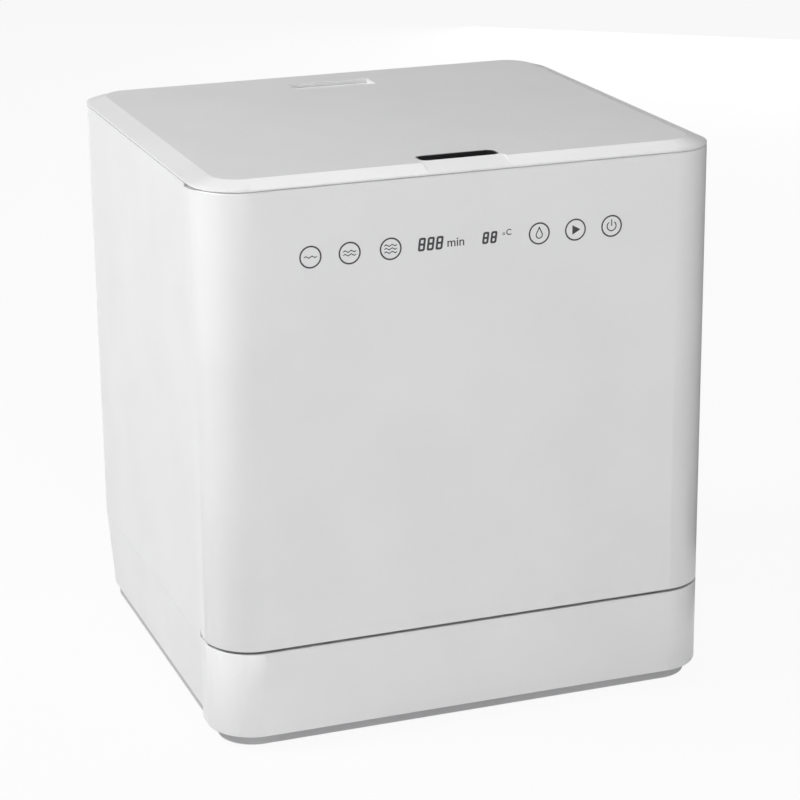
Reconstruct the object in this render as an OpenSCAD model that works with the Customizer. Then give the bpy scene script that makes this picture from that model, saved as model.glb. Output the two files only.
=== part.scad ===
// Countertop dishwasher with a drop-down door, a sliding wire rack and a sliding cutlery tray.
// X is to the right, Y runs from the door to the back, Z is up. The origin is on the worktop,
// under the middle of the machine.

/* [Cabinet] */
// Overall width
cabinet_w = 420; // [412:1:440]
// Overall depth
cabinet_d = 390; // [386:1:420]
// Overall height
cabinet_h = 455; // [452:1:480]
// Radius of the four upright corners
corner_r = 38; // [30:1:42]
// Wall of the moulded outer panels
panel_t = 2.5; // [2:0.1:3]
// How far the side and rear panels stand in from the outline of the door and cover
panel_inset = 0.6; // [0.2:0.1:1]
// Width of the joggled flange of a side panel behind the rear panel
joggle_w = 22; // [16:1:30]

/* [Top cover] */
// Width of the sloped band round the cover
bevel_w = 16.4; // [10:0.2:20]
// Height that the sloped band drops
bevel_drop = 4.9; // [3:0.1:6]
// Upright edge under the sloped band
cover_edge = 1.2; // [0.8:0.1:2]
// Length of the finger slot in the cover
slot_w = 65; // [56:1:80]
// Front-to-back size of the finger slot
slot_d = 18; // [17:0.5:22]
// Distance from the door's face to the front edge of the finger slot
slot_setback = 22; // [20:0.5:24]
// Corner radius of the finger slot
slot_r = 6; // [3:0.5:8]

/* [Fill port] */
// Length of the recess over the water tank
port_w = 72; // [60:1:90]
// Front-to-back size of the recess
port_d = 25; // [22:0.5:30]
// Distance from the back of the machine to the back edge of the recess
port_setback = 49; // [47:0.5:54]
// Depth from the cover's top to the lid
port_depth = 3.5; // [2.5:0.1:5]
// Thickness of the fill lid
lid_t = 2; // [1.6:0.1:2.6]

/* [Door] */
// Depth of the door with its wrapped sides
door_d = 52; // [50:0.5:56]
// Gap under the door
door_gap = 2.5; // [2.4:0.1:4]
// Gap between the door's top and the cover
door_top_gap = 0.6; // [0.5:0.1:1.5]
// Gap between the door's wrapped edge and the side panel
seam_gap = 1.2; // [1.1:0.1:2]
// Rounding of the door's top front edge
door_edge_r = 1.6; // [0.8:0.1:2.4]
// How much lower the door's top is at its back than at its front
door_top_fall = 3.3; // [3.1:0.1:4]
// Sheet of the door's inner panel
liner_t = 1.5; // [0.8:0.1:2]
// How far the inner panel stands in from the wrapped edges
liner_set = 3; // [2:0.1:4]

/* [Hinge] */
// Distance from the door's face back to the hinge pins
pivot_in = 7; // [6.8:0.1:7.2]
// Height of the hinge pins above the door's lower edge
pivot_up = 11; // [10.5:0.1:14]
// Radius of a hinge pin
pin_r = 2.5; // [2:0.1:2.7]
// Outer radius of the eyes round a hinge pin
eye_r = 4.2; // [3.8:0.1:4.3]
// Thickness of the hinge plates
hinge_t = 3; // [2:0.1:4]
// Distance from the side of the machine in to a hinge plate
hinge_in = 50; // [48:1:60]

/* [Base] */
// Height of a rubber foot under the base tray
foot_h = 2.5; // [2:0.5:5]
// Radius of a rubber foot
foot_r = 14; // [8:0.5:18]
// How far the base tray stands in under the base panels
tray_inset = 9; // [7:0.5:12]
// Height of the base tray that shows under the base panels
tray_show = 10; // [6:0.5:14]
// Height of the base panels
base_h = 70; // [66:1:80]
// How far the lower edge of a side skirt leans in
skirt_lean = 5; // [2:0.5:6]
// Wall of the base tray
tray_t = 2.5; // [2:0.1:4]

/* [Tub] */
// Sheet of the tub
tub_t = 1.5; // [0.8:0.1:2]
// Space between the tub's inner wall and the side of the machine
tub_side = 32; // [28:0.5:35]
// Space between the tub's inner wall and the back of the machine
tub_back = 68.3; // [64.3:0.5:72.3]
// Height of the tub's floor above the worktop
tub_floor_z = 112; // [110:0.5:116]
// Space between the tub's ceiling and the top of the machine
tub_over = 34; // [33:0.5:43]
// Height of the sill over the tub's floor
sill_h = 24; // [20:0.5:26]
// Width of the strips beside the door opening
jamb_w = 6; // [5:0.5:7]
// Height of the strip above the door opening
lintel_h = 15; // [14:0.5:20]
// Corner radius of the door opening
open_r = 12; // [8:0.5:14]
// Width of the door seal
seal_w = 8; // [6:0.5:9]

/* [Racks] */
// Wire of the lower rack
wire_d = 3.2; // [2.4:0.1:4]
// Rim wire of the lower rack
rim_d = 4; // [3:0.1:5]
// Space between the tub's wall and the upright wires of the lower rack
rack_side = 26; // [25:0.5:30]
// Space between the rim of the lower rack and the floor of the upper tray
rack_under = 31.8; // [27.8:0.5:41.8]
// Radius of a rack roller
roller_r = 10; // [8:0.5:11]
// Width of a rack roller
roller_w = 7; // [5:0.5:8]
// Height of a plate tine over the rack's floor
tine_h = 60; // [40:1:62]
// How far the top of the cutlery basket is below the height of the rack's sides
basket_under = 30; // [20:1:60]
// Height of the upper tray
upper_h = 40; // [30:1:48]
// Distance from the upper tray's floor up to the tub's ceiling
upper_drop = 89; // [87:1:95]
// Moulded wall of the upper tray and the cutlery basket
mould_t = 2.5; // [1.5:0.1:3]

/* [Spray arms] */
// Gap between the tips of the lower spray arm and the feed pipe
arm_gap = 2.5; // [1.5:0.5:30]
// Radius swept by the upper spray arm
upper_arm_r = 96; // [70:1:120]
// Thickness of a spray arm's blade
blade_t = 7; // [5:0.5:8]
// Radius of a nozzle hole
nozzle_r = 1.5; // [1:0.1:2]

/* [Dispenser] */
// Width of the dispenser's face
disp_w = 124; // [120:1:140]
// Height of the dispenser's face
disp_h = 112; // [108:1:120]
// Travel of the dispenser's lid
lid_travel = 44; // [38:1:44]

/* [Connections] */
// Radius over the thread of the water inlet
inlet_r = 13.2; // [10:0.1:14]
// Radius of the drain spigot
drain_r = 9.5; // [7:0.1:11]
// Radius of the hole in the mains gland
gland_r = 4; // [3:0.1:5]

/* [Clearances] */
// Gap between pieces that lie side by side
fit_gap = 0.2; // [0.1:0.05:0.3]
// Radial clearance of a running fit
run_gap = 0.05; // [0.02:0.01:0.08]
// Gap between moving faces
move_gap = 0.6; // [0.4:0.1:0.8]

/* [Hidden] */

hw = cabinet_w / 2;
hd = cabinet_d / 2;
front_y = -hd;
eps = 0.01;

// heights of the outer shells
base_z0 = foot_h + tray_show;
base_top = base_z0 + base_h;
skirt_top = base_top - 1.8;
side_z0 = skirt_top + 0.7;
door_z0 = base_top + door_gap;
cover_z0 = cabinet_h - bevel_drop - cover_edge;
door_z1 = cover_z0 - door_top_gap;
side_z1 = cover_z0 - 1.8;
tray_top = skirt_top - 2 - fit_gap;
tray_floor = foot_h + tray_t;

// front to back
seam_y = front_y + door_d;
body_y0 = seam_y + seam_gap;
pivot_y = front_y + pivot_in;
pivot_z = door_z0 + pivot_up;
shell_in_y = front_y + panel_t;
liner_y = seam_y - liner_set;

// tub
frame_t = 3;
tub_y0 = body_y0 + frame_t;
tub_y1 = hd - tub_back;
tub_w = cabinet_w - 2 * tub_side;
tub_d = tub_y1 - tub_y0 - tub_t;
tub_h = cabinet_h - tub_over - tub_floor_z;
open_w = tub_w - 2 * jamb_w;
hinge_x = hw - hinge_in;
pipe_d = 12;
lower_arm_r = tub_d / 2 - fit_gap - pipe_d - arm_gap;
tub_mid_y = tub_y0 + tub_t + tub_d / 2;
tub_ceiling_z = tub_floor_z + tub_h;
tub_r = 20;
open_z0 = tub_floor_z + sill_h;
open_z1 = tub_ceiling_z - lintel_h;
open_h = open_z1 - open_z0;
open_mid_z = (open_z0 + open_z1) / 2;
flange_w = 11;

// lower rack
rail_z = pivot_z + door_d - pivot_in - liner_set + 1.6;
roller_z = rail_z + roller_r + 0.3;
rack_z0 = roller_z + 0.3;
rack_y0 = liner_y + 8;
rack_y1 = tub_y1 - 18;
roller_front_y = rack_y0 + 80;
roller_rear_y = rack_y1 - 30;
rack_hw = tub_w / 2 - rack_side;
roller_x = rack_hw + 6;
axle_r = 2;
// how far welded wires sink into each other
weld = 0.1;
rim_out = (wire_d + rim_d) / 2 - weld;
side_out = wire_d - weld;

// upper tray
tray_z = tub_ceiling_z - upper_drop;
tray_hw = open_w / 2 - 14;
tray_y0 = rack_y0 + 2;
tray_y1 = rack_y1;
upper_rail_z = tray_z + 13;

// latch
slot_y0 = front_y + slot_setback;
slot_y1 = slot_y0 + slot_d;
cup_z0 = door_z1 - 20.3;
cup_t = 1.5;
lever_y = slot_y0 + 7.2;
lever_z = cup_z0 + 4.8;
lever_pin_r = 1.5;
notch_hw = slot_w / 2 + 9.5;
notch_z = cup_z0 - 4;
notch_y = slot_y0 - 13;
bar_z = lever_z + 1.5;

// fill port
port_y1 = hd - port_setback;
port_y0 = port_y1 - port_d;
port_y = (port_y0 + port_y1) / 2;
lid_top = cabinet_h - port_depth;

// dispenser
disp_z = (open_z0 + open_z1) / 2 - 23;
disp_face_y = liner_y - 4;
disp_out = 5.5;

steel = [0.78, 0.79, 0.8];
white = [0.93, 0.93, 0.93];
side_white = [0.9, 0.9, 0.9];
grey = [0.55, 0.56, 0.58];
dark = [0.2, 0.2, 0.21];
black = [0.07, 0.07, 0.07];
rubber_grey = [0.35, 0.35, 0.36];

// ---------- shared shapes ----------

// rounded rectangle round the origin
module rounded_rect(w, h, r) {
    square([w - 2 * r, h], center = true);
    square([w, h - 2 * r], center = true);
    for (x = [-1, 1], y = [-1, 1])
        translate([x * (w / 2 - r), y * (h / 2 - r)]) circle(r, $fn = 64);
}

// block with rounded upright corners whose edge section is the 2D child: x from 0 at the
// corner's axis to r at the face, y up
module edged_block(w, d, r, h) {
    rotate([90, 0, 0]) linear_extrude(d - 2 * r, center = true) {
        translate([-w / 2 + r, 0]) square([w - 2 * r, h]);
        for (m = [0, 1]) mirror([m, 0]) translate([w / 2 - r, 0]) children();
    }
    for (m = [0, 1]) mirror([0, m, 0]) translate([0, d / 2 - r, 0])
        rotate([90, 0, 90]) linear_extrude(w - 2 * r, center = true) children();
    for (k = [0 : 3]) {
        x = (k == 0 || k == 3) ? w / 2 - r : -w / 2 + r;
        y = k < 2 ? d / 2 - r : -d / 2 + r;
        translate([x, y, 0]) rotate([0, 0, 90 * k]) rotate_extrude(angle = 90, $fn = 96) children();
    }
}

// the outline of the cabinet, drawn in by inset, over one span of heights
module cabinet_slab(inset, z0, z1) {
    translate([0, 0, z0]) linear_extrude(z1 - z0)
        rounded_rect(cabinet_w - 2 * inset, cabinet_d - 2 * inset, corner_r - inset);
}

// everything between two planes across Y
module y_band(y0, y1) {
    translate([-cabinet_w, y0, -1]) cube([2 * cabinet_w, y1 - y0, cabinet_h + 2]);
}

// box from its low corner to its high corner
module box(a, b) {
    translate(a) cube(b - a);
}

// plate in an XZ plane from y0 to y1, its outline the 2D child
module plate_xz(y0, y1) {
    translate([0, y1, 0]) rotate([90, 0, 0]) linear_extrude(y1 - y0) children();
}

// plate in a YZ plane from x0 to x1, its outline the 2D child
module plate_yz(x0, x1) {
    translate([x0, 0, 0]) rotate([90, 0, 90]) linear_extrude(x1 - x0) children();
}

// cylinder along X, along Y and between any two points
module rod_x(x0, x1, y, z, r) {
    translate([x0, y, z]) rotate([0, 90, 0]) cylinder(h = x1 - x0, r = r, $fn = 48);
}
module rod_y(y0, y1, x, z, r) {
    translate([x, y1, z]) rotate([90, 0, 0]) cylinder(h = y1 - y0, r = r, $fn = 48);
}
module rod(p, q, d) {
    v = q - p;
    translate(p) rotate([0, acos(v.z / norm(v)), atan2(v.y, v.x)])
        cylinder(h = norm(v), d = d, $fn = 24);
}

function unit(v) = v / norm(v);
function turn(a, b) = atan2(a.x * b.y - a.y * b.x, a.x * b.x + a.y * b.y);

// round wire along a flat path of straights joined by bends of one radius
module wire_path(p, bend_r, d) {
    n = len(p);
    u = [for (i = [0 : n - 2]) unit(p[i + 1] - p[i])];
    t = [for (i = [0 : n - 1]) i == 0 || i == n - 1 ? 0 : bend_r * tan(abs(turn(u[i - 1], u[i])) / 2)];
    for (i = [0 : n - 2]) {
        a = p[i] + u[i] * t[i];
        b = p[i + 1] - u[i] * t[i + 1];
        translate([a.x, a.y, 0]) rotate([0, 0, atan2(u[i].y, u[i].x)]) rotate([0, 90, 0])
            cylinder(h = norm(b - a), d = d, $fn = 24);
    }
    for (i = [1 : n - 2]) {
        bend = turn(u[i - 1], u[i]);
        side = sign(bend);
        c = p[i] - u[i - 1] * t[i] + side * bend_r * [-u[i - 1].y, u[i - 1].x];
        start = atan2(u[i - 1].y, u[i - 1].x) - side * 90;
        // rounded up, so that the bend always reaches the next straight
        sweep = ceil(abs(bend) * 10000 - 0.001) / 10000;
        translate([c.x, c.y, 0]) rotate([0, 0, min(start, start + bend)])
            rotate_extrude(angle = sweep, $fn = 64) translate([bend_r, 0]) circle(d = d, $fn = 24);
    }
}

// closed frame round a rounded rectangle in the XY plane; the child's x points outward
module swept_frame(w, h, r) {
    for (k = [0 : 3]) {
        across = k % 2 == 0;
        rotate([0, 0, 90 * k]) translate([(across ? w : h) / 2, 0, 0]) rotate([90, 0, 0])
            linear_extrude((across ? h : w) - 2 * r, center = true) children();
        x = (k == 0 || k == 3) ? w / 2 - r : -w / 2 + r;
        y = k < 2 ? h / 2 - r : -h / 2 + r;
        translate([x, y, 0]) rotate([0, 0, 90 * k]) rotate_extrude(angle = 90, $fn = 64)
            translate([r, 0]) children();
    }
}

// ---------- base ----------

foot_x = hw - 48;
foot_y = hd - 48;
post_y = tub_y1 - 30;
post_x = 145;
tank_y0 = tub_y1 + 2.5;
tank_y1 = hd - 8;
tank_hw = 150;
tank_z0 = tub_floor_z - 16;
tank_z1 = cover_z0 - 25;
tank_post_x = 97;
tank_post_y = tank_y0 + 14;
hinge_post_y = body_y0 + frame_t + 3;

module base_tray() {
    color(grey) {
        difference() {
            cabinet_slab(tray_inset, foot_h, tray_top);
            cabinet_slab(tray_inset + tray_t, tray_floor, tray_top + 1);
            for (x = [-1, 1], y = [-1, 1])
                translate([x * foot_x, y * foot_y, foot_h - 1]) cylinder(h = tray_t + 2, r = 4 + fit_gap, $fn = 48);
            for (y = [-60 : 12 : 60]) box([-30, y - 2, foot_h - 1], [30, y + 2, tray_floor + 1]);
            // room for the connection pocket and the mains gland
            box([pocket_x0 - 3, 0, pocket_z0 - 3], [pocket_x1 + 3, hd, tray_top + 1]);
            rod_y(0, hd, gland_x, pocket_mid_z, gland_r + 5);
        }
        for (m = [0, 1]) mirror([m, 0, 0]) {
            box([hinge_x + hinge_t, hinge_post_y, tray_floor - eps], [hinge_x + hinge_t + 14, hinge_post_y + 20, tray_top]);
            translate([post_x, post_y, tray_floor - eps]) difference() {
                cylinder(h = tub_floor_z - tub_t - fit_gap - tray_floor, r = 9, $fn = 64);
                translate([0, 0, 4]) cylinder(h = tub_floor_z, r = 6.5, $fn = 64);
            }
            translate([tank_post_x, tank_post_y, tray_floor - eps]) difference() {
                cylinder(h = tank_z0 - fit_gap - tray_floor, r = 9, $fn = 64);
                translate([0, 0, 4]) cylinder(h = tub_floor_z, r = 6.5, $fn = 64);
            }
        }
        // stiffening ribs on the floor
        for (x = [-150 : 60 : 150]) if (abs(x) > 40)
            box([x - 1, -hd + tray_inset + 30, tray_floor - eps], [x + 1, -hd + tray_inset + 70, tray_floor + 8]);
    }
}

module rubber_feet() {
    color(dark) for (x = [-1, 1], y = [-1, 1]) translate([x * foot_x, y * foot_y, 0]) {
        rotate_extrude($fn = 96) difference() {
            square([foot_r, foot_h - eps]);
            translate([foot_r * 0.45, -1]) square([foot_r * 0.25, 1.8]);
        }
        cylinder(h = foot_h + tray_t + 1, r = 4, $fn = 48);
        translate([0, 0, tray_floor + eps]) cylinder(h = 1.5, r1 = 5.5, r2 = 4, $fn = 48);
    }
}

module base_front_panel() {
    color(white) intersection() {
        union() {
            difference() {
                cabinet_slab(0, base_z0, base_top);
                cabinet_slab(panel_t, base_z0 - 1, base_top + 1);
            }
            difference() {
                cabinet_slab(panel_t - eps, skirt_top - 2, skirt_top);
                cabinet_slab(tray_inset + tray_t + 4, skirt_top - 3, skirt_top + 1);
            }
            // upright ribs that stand on the tray's wall
            for (x = [-140 : 70 : 140])
                box([x - 1, shell_in_y - eps, base_z0 + 4], [x + 1, front_y + tray_inset - fit_gap, skirt_top - 1]);
        }
        y_band(front_y - 1, seam_y);
    }
}

// skirt profile: leans in towards its lower edge
module skirt_edge(inset) {
    h = skirt_top - base_z0;
    r = corner_r - inset;
    polygon([[0, 0], [r - skirt_lean, 0], [r, h], [0, h]]);
}

module skirt_solid() {
    h = skirt_top - base_z0;
    translate([0, 0, base_z0]) difference() {
        edged_block(cabinet_w - 2 * panel_inset, cabinet_d - 2 * panel_inset, corner_r - panel_inset, h)
            skirt_edge(panel_inset);
        translate([0, 0, -eps])
            edged_block(cabinet_w - 2 * panel_inset - 2 * panel_t, cabinet_d - 2 * panel_inset - 2 * panel_t,
                corner_r - panel_inset - panel_t, h + 1)
                polygon([[0, 0], [corner_r - panel_inset - panel_t - skirt_lean, 0],
                    [corner_r - panel_inset - panel_t, h], [corner_r - panel_inset - panel_t, h + 1], [0, h + 1]]);
    }
    difference() {
        cabinet_slab(panel_inset + panel_t - 0.5, skirt_top - 2, skirt_top);
        cabinet_slab(tray_inset + tray_t + 4, skirt_top - 3, skirt_top + 1);
    }
}

rear_hw = hw - corner_r;

module base_side_left() {
    color(side_white) intersection() {
        skirt_solid();
        union() {
            box([-hw - 1, seam_y + fit_gap * 2, 0], [-hw + corner_r + 2, hd - corner_r + eps, cabinet_h]);
            box([-hw - 1, hd - corner_r, 0], [-rear_hw - fit_gap, hd + 1, cabinet_h]);
        }
    }
}

module base_side_right() {
    mirror([1, 0, 0]) base_side_left();
}

pocket_x0 = 36;
pocket_x1 = 150;
pocket_z0 = base_z0 + 8;
pocket_z1 = pocket_z0 + 52;
pocket_d = 28;
inlet_x = 66;
drain_x = 124;
pocket_mid_z = (pocket_z0 + pocket_z1) / 2;
gland_x = -120;
base_rear_y = hd - panel_inset;

module base_rear_panel() {
    color(side_white) difference() {
        union() {
            box([-rear_hw, base_rear_y - panel_t, base_z0], [rear_hw, base_rear_y, skirt_top]);
            box([pocket_x0 - 2, base_rear_y - pocket_d, pocket_z0 - 2], [pocket_x1 + 2, base_rear_y, pocket_z1 + 2]);
            box([-rear_hw, hd - tray_inset - tray_t - 4, skirt_top - 2], [rear_hw, base_rear_y, skirt_top]);
        }
        box([pocket_x0, base_rear_y - pocket_d + 2, pocket_z0], [pocket_x1, hd + 1, pocket_z1]);
        rod_y(0, hd, inlet_x, pocket_mid_z, inlet_r + 1 + fit_gap);
        rod_y(0, hd, drain_x, pocket_mid_z, drain_r + 1 + fit_gap);
        rod_y(0, hd + 1, gland_x, pocket_mid_z, gland_r + 4 + fit_gap);
        for (x = [-80 : 10 : 0]) box([x - 2, 0, base_z0 + 30], [x + 2, hd + 1, base_z0 + 54]);
    }
}

// ---------- outer panels ----------

screw_x = rear_hw - 12;
rear_screw_z = [side_z0 + 25, (side_z0 + side_z1) / 2, side_z1 - 25];

module side_panel_left() {
    t = panel_t - panel_inset;
    color(side_white) difference() {
        union() {
            intersection() {
                difference() {
                    cabinet_slab(panel_inset, side_z0, side_z1);
                    cabinet_slab(panel_inset + t, side_z0 - 1, side_z1 + 1);
                }
                union() {
                    box([-hw - 1, body_y0, 0], [-hw + corner_r + 1, hd - corner_r + 1, cabinet_h]);
                    box([-hw - 1, hd - corner_r, 0], [-rear_hw - fit_gap, hd + 1, cabinet_h]);
                }
            }
            // joggled flange behind the rear panel
            box([-rear_hw - 3, hd - panel_t - 2, side_z0], [-rear_hw + joggle_w, hd - panel_t, cover_z0 - 9.2]);
            box([-rear_hw - 3, hd - panel_t - eps, side_z0], [-rear_hw - fit_gap, hd - panel_inset, side_z1]);
            // return along the front edge, behind the tub's frame
            box([-hw + panel_t - eps, tub_y0 + fit_gap, side_z0], [-hw + panel_t + 12, tub_y0 + fit_gap + 2, side_z1]);
        }
        for (z = rear_screw_z) rod_y(0, hd, -screw_x, z, 1.6 + fit_gap);
    }
}

module side_panel_right() {
    mirror([1, 0, 0]) side_panel_left();
}

module rear_panel() {
    color(side_white) difference() {
        box([-rear_hw, hd - panel_t, side_z0], [rear_hw, hd - panel_inset, side_z1]);
        for (x = [-1, 1], z = rear_screw_z) {
            rod_y(0, hd + 1, x * screw_x, z, 1.6 + fit_gap);
            rod_y(hd - panel_inset - 1.2, hd + 1, x * screw_x, z, 3.4 + fit_gap);
        }
        // air slots
        for (i = [0 : 9], j = [0, 1]) {
            x = -126 + 10 * i + 162 * j;
            plate_xz(0, hd + 1) translate([x, side_z1 - 58]) rounded_rect(4, 38, 1.9);
        }
    }
}

module panel_screws() {
    color(steel) for (x = [-1, 1], z = rear_screw_z) {
        difference() {
            rod_y(hd - panel_inset - 1.1, hd - panel_inset - 0.1, x * screw_x, z, 3.4);
            box([x * screw_x - 2.4, hd - panel_inset - 0.6, z - 0.4], [x * screw_x + 2.4, hd, z + 0.4]);
            box([x * screw_x - 0.4, hd - panel_inset - 0.6, z - 2.4], [x * screw_x + 0.4, hd, z + 2.4]);
        }
        rod_y(hd - panel_t - 6, hd - panel_inset - 1, x * screw_x, z, 1.6);
    }
}

// section of the cover's edge: an upright edge, then the sloped band
module cover_section(r, low) {
    h = cabinet_h - cover_z0;
    polygon([[0, 0], [r, 0], [r, cover_edge - low], [r - bevel_w, h - low], [0, h - low]]);
}

module port_hole(grow, z0, z1) {
    translate([0, port_y, z0]) linear_extrude(z1 - z0)
        rounded_rect(port_w + 2 * grow, port_d + 2 * grow, 3 + grow);
}

module slot_hole(grow, z0, z1) {
    translate([0, (slot_y0 + slot_y1) / 2, z0]) linear_extrude(z1 - z0)
        rounded_rect(slot_w + 2 * grow, slot_d + 2 * grow, slot_r + grow);
}

module top_cover() {
    h = cabinet_h - cover_z0;
    rib_y = body_y0 + 0.4;
    lip_in = panel_t + fit_gap;
    color(white) difference() {
        union() {
            difference() {
                translate([0, 0, cover_z0]) edged_block(cabinet_w, cabinet_d, corner_r, h) cover_section(corner_r, 0);
                translate([0, 0, cover_z0 - eps])
                    edged_block(cabinet_w - 2 * panel_t, cabinet_d - 2 * panel_t, corner_r - panel_t, h - panel_t)
                        cover_section(corner_r - panel_t, panel_t);
            }
            // lip that locates the cover inside the panels
            intersection() {
                difference() {
                    cabinet_slab(lip_in, cover_z0 - 9, cover_z0 + 2);
                    cabinet_slab(lip_in + 2, cover_z0 - 10, cabinet_h);
                }
                y_band(tub_y0 + 4, hd);
            }
            // cross rib that stands on the tub's frame
            box([-hw + 24, rib_y, door_z1 - 2], [hw - 24, rib_y + 2, cabinet_h - panel_t + eps]);
            // skirt round the fill port
            port_hole(2, cover_z0 - 8, cabinet_h - 1);
        }
        slot_hole(0, cover_z0 - 20, cabinet_h + 1);
        port_hole(0, cover_z0 - 20, cabinet_h + 1);
        // square rear corners, so that the lid can stand open
        box([-port_w / 2, port_y1 - 4, lid_top - lid_t - 1], [port_w / 2, port_y1, cabinet_h + 1]);
        // hinge holes of the fill lid
        rod_x(-port_w / 2 - 3, port_w / 2 + 3, port_y1 - 2.6, lid_top - lid_t / 2, 1.2 + run_gap);
        // finger dip between the slot and the front edge
        plate_yz(-slot_w / 2 - 1.5, slot_w / 2 + 1.5)
            polygon([[front_y - 1, cover_z0 + cover_edge], [front_y, cover_z0 + cover_edge],
                [slot_y0 + 0.5, cabinet_h + 0.05], [slot_y0 + 0.5, cabinet_h + 3], [front_y - 1, cabinet_h + 3]]);
    }
}

// ---------- tub ----------

module opening_2d(grow) {
    translate([0, open_mid_z]) rounded_rect(open_w + 2 * grow, open_h + 2 * grow, open_r + grow);
}

module tub_2d(grow) {
    translate([0, tub_floor_z + tub_h / 2]) rounded_rect(tub_w + 2 * grow, tub_h + 2 * grow, tub_r + grow);
}

sump_x = 20;
sump_r = 50;
filter_x = 42;
filter_r = 24;
hub_r = 12;
feed_y = tub_y1 - 8;
loop_r = 86;
loop_gap = 30;
loop_d = 8;

module tub() {
    color(steel) difference() {
        union() {
            plate_xz(tub_y0, tub_y1 + tub_t) tub_2d(tub_t);
            plate_xz(tub_y0, tub_y0 + tub_t) translate([0, tub_floor_z + tub_h / 2])
                rounded_rect(tub_w + 2 * flange_w, tub_h + 2 * 8, tub_r);
        }
        plate_xz(tub_y0 + tub_t, tub_y1) tub_2d(0);
        plate_xz(tub_y0 - 1, tub_y0 + tub_t + 1) opening_2d(0);
        translate([sump_x, tub_mid_y, tub_floor_z - 5]) cylinder(h = 10, r = sump_r - 2, $fn = 96);
        translate([0, feed_y, tub_floor_z - 5]) cylinder(h = 10, r = 7.2, $fn = 64);
        for (s = [-1, 1]) translate([s * loop_r * sin(loop_gap), tub_mid_y + loop_r * cos(loop_gap), tub_floor_z - 5])
            cylinder(h = 10, r = loop_d / 2 + fit_gap, $fn = 48);
    }
}

module tub_front_frame() {
    color(white) difference() {
        plate_xz(body_y0, tub_y0) difference() {
            translate([-hw + panel_t + fit_gap, side_z0]) square([cabinet_w - 2 * panel_t - 2 * fit_gap, door_z1 - 2.3 - side_z0]);
            opening_2d(0);
        }
        for (s = [-1, 1]) {
            x = s * (hinge_x + hinge_t / 2);
            box([x - hinge_t / 2 - 1, body_y0 - 1, pivot_z - 5.5], [x + hinge_t / 2 + 1, tub_y0 + 1, pivot_z + 5.5]);
        }
        // shallow groove that holds the seal
        plate_xz(body_y0 - 1, body_y0 + 1) difference() {
            opening_2d(4 + seal_w - 2 + fit_gap);
            opening_2d(6 - fit_gap);
        }
    }
}

// bulb seal in the groove of the frame, just clear of the closed door's inner panel
module door_seal() {
    reach = body_y0 - liner_y - 0.3;
    bulb = min(seal_w / 2, reach / 2 + 0.4);
    color(rubber_grey) translate([0, body_y0, open_mid_z]) rotate([90, 0, 0])
        swept_frame(open_w + 8 + seal_w, open_h + 8 + seal_w, open_r + 4 + seal_w / 2) {
            union() {
                translate([-seal_w / 2 + 2, -1]) square([seal_w - 4, 1 + bulb]);
                difference() {
                    union() {
                        translate([0, reach - bulb]) circle(bulb, $fn = 48);
                        translate([-bulb, 0]) square([2 * bulb, reach - bulb]);
                    }
                    translate([0, reach - bulb]) circle(bulb - 1, $fn = 32);
                }
            }
        }
}

rail_in_x = rack_hw + 4;

module lower_rails() {
    color(steel) for (m = [0, 1]) mirror([m, 0, 0]) plate_xz(tub_y0 + tub_t + fit_gap, rack_y1 + 6)
        polygon([[rail_in_x, rail_z - 2.4], [tub_w / 2 - 2, rail_z - 2.4], [tub_w / 2 - 2, rail_z - 7],
            [tub_w / 2, rail_z - 7], [tub_w / 2, rail_z + 10], [tub_w / 2 - 2, rail_z + 10],
            [tub_w / 2 - 2, rail_z], [rail_in_x, rail_z]]);
}

tray_flange = 12.4;

module upper_rails() {
    x0 = tray_hw + 4;
    color(grey) for (m = [0, 1]) mirror([m, 0, 0]) plate_xz(tub_y0 + tub_t + fit_gap, rack_y1 + 6)
        polygon([[x0, upper_rail_z - 2.5], [tub_w / 2, upper_rail_z - 2.5], [tub_w / 2, upper_rail_z + 8],
            [tub_w / 2 - 2.5, upper_rail_z + 8], [tub_w / 2 - 2.5, upper_rail_z], [x0, upper_rail_z]]);
}

// ---------- water system ----------

hub_top = tub_floor_z + 24;
arm_z = tub_floor_z + 13;
sump_z0 = tub_floor_z - 54;
sump_z1 = tub_floor_z - tub_t;
pump_y = tub_mid_y;
pump_z = sump_z0 + 16;
pump_r = 30;

module sump() {
    color(grey) difference() {
        union() {
            translate([sump_x, tub_mid_y, sump_z0]) cylinder(h = sump_z1 - sump_z0, r = sump_r, $fn = 96);
            translate([sump_x, tub_mid_y, sump_z1 - 3]) cylinder(h = 3, r = sump_r + 9, $fn = 96);
            rod_x(sump_x - sump_r - 14, sump_x, tub_mid_y, sump_z0 + 18, 12);
            rod_x(sump_x, sump_x + sump_r + 14, tub_mid_y, sump_z0 + 14, 9);
        }
        translate([sump_x, tub_mid_y, sump_z0 + 2.5]) cylinder(h = 80, r = sump_r - 2.5, $fn = 96);
        rod_x(sump_x - sump_r - 15, sump_x, tub_mid_y, sump_z0 + 18, 9.5);
        rod_x(sump_x, sump_x + sump_r + 15, tub_mid_y, sump_z0 + 14, 7);
        translate([0, tub_mid_y, sump_z0 - 1]) cylinder(h = 5, r = hub_r + fit_gap, $fn = 64);
    }
}

module filter_plate() {
    plate_r = 64;
    color(steel) translate([10, tub_mid_y, tub_floor_z]) linear_extrude(1.2) difference() {
        circle(plate_r, $fn = 96);
        translate([-10, 0]) circle(hub_r + 0.6, $fn = 64);
        translate([filter_x - 10, 0]) circle(filter_r + fit_gap, $fn = 64);
        for (i = [0 : 17], j = [0 : 1]) rotate(20 * i + 10 * j)
            translate([plate_r - 6 - 7 * j, 0]) circle(1.5, $fn = 24);
    }
}

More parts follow.
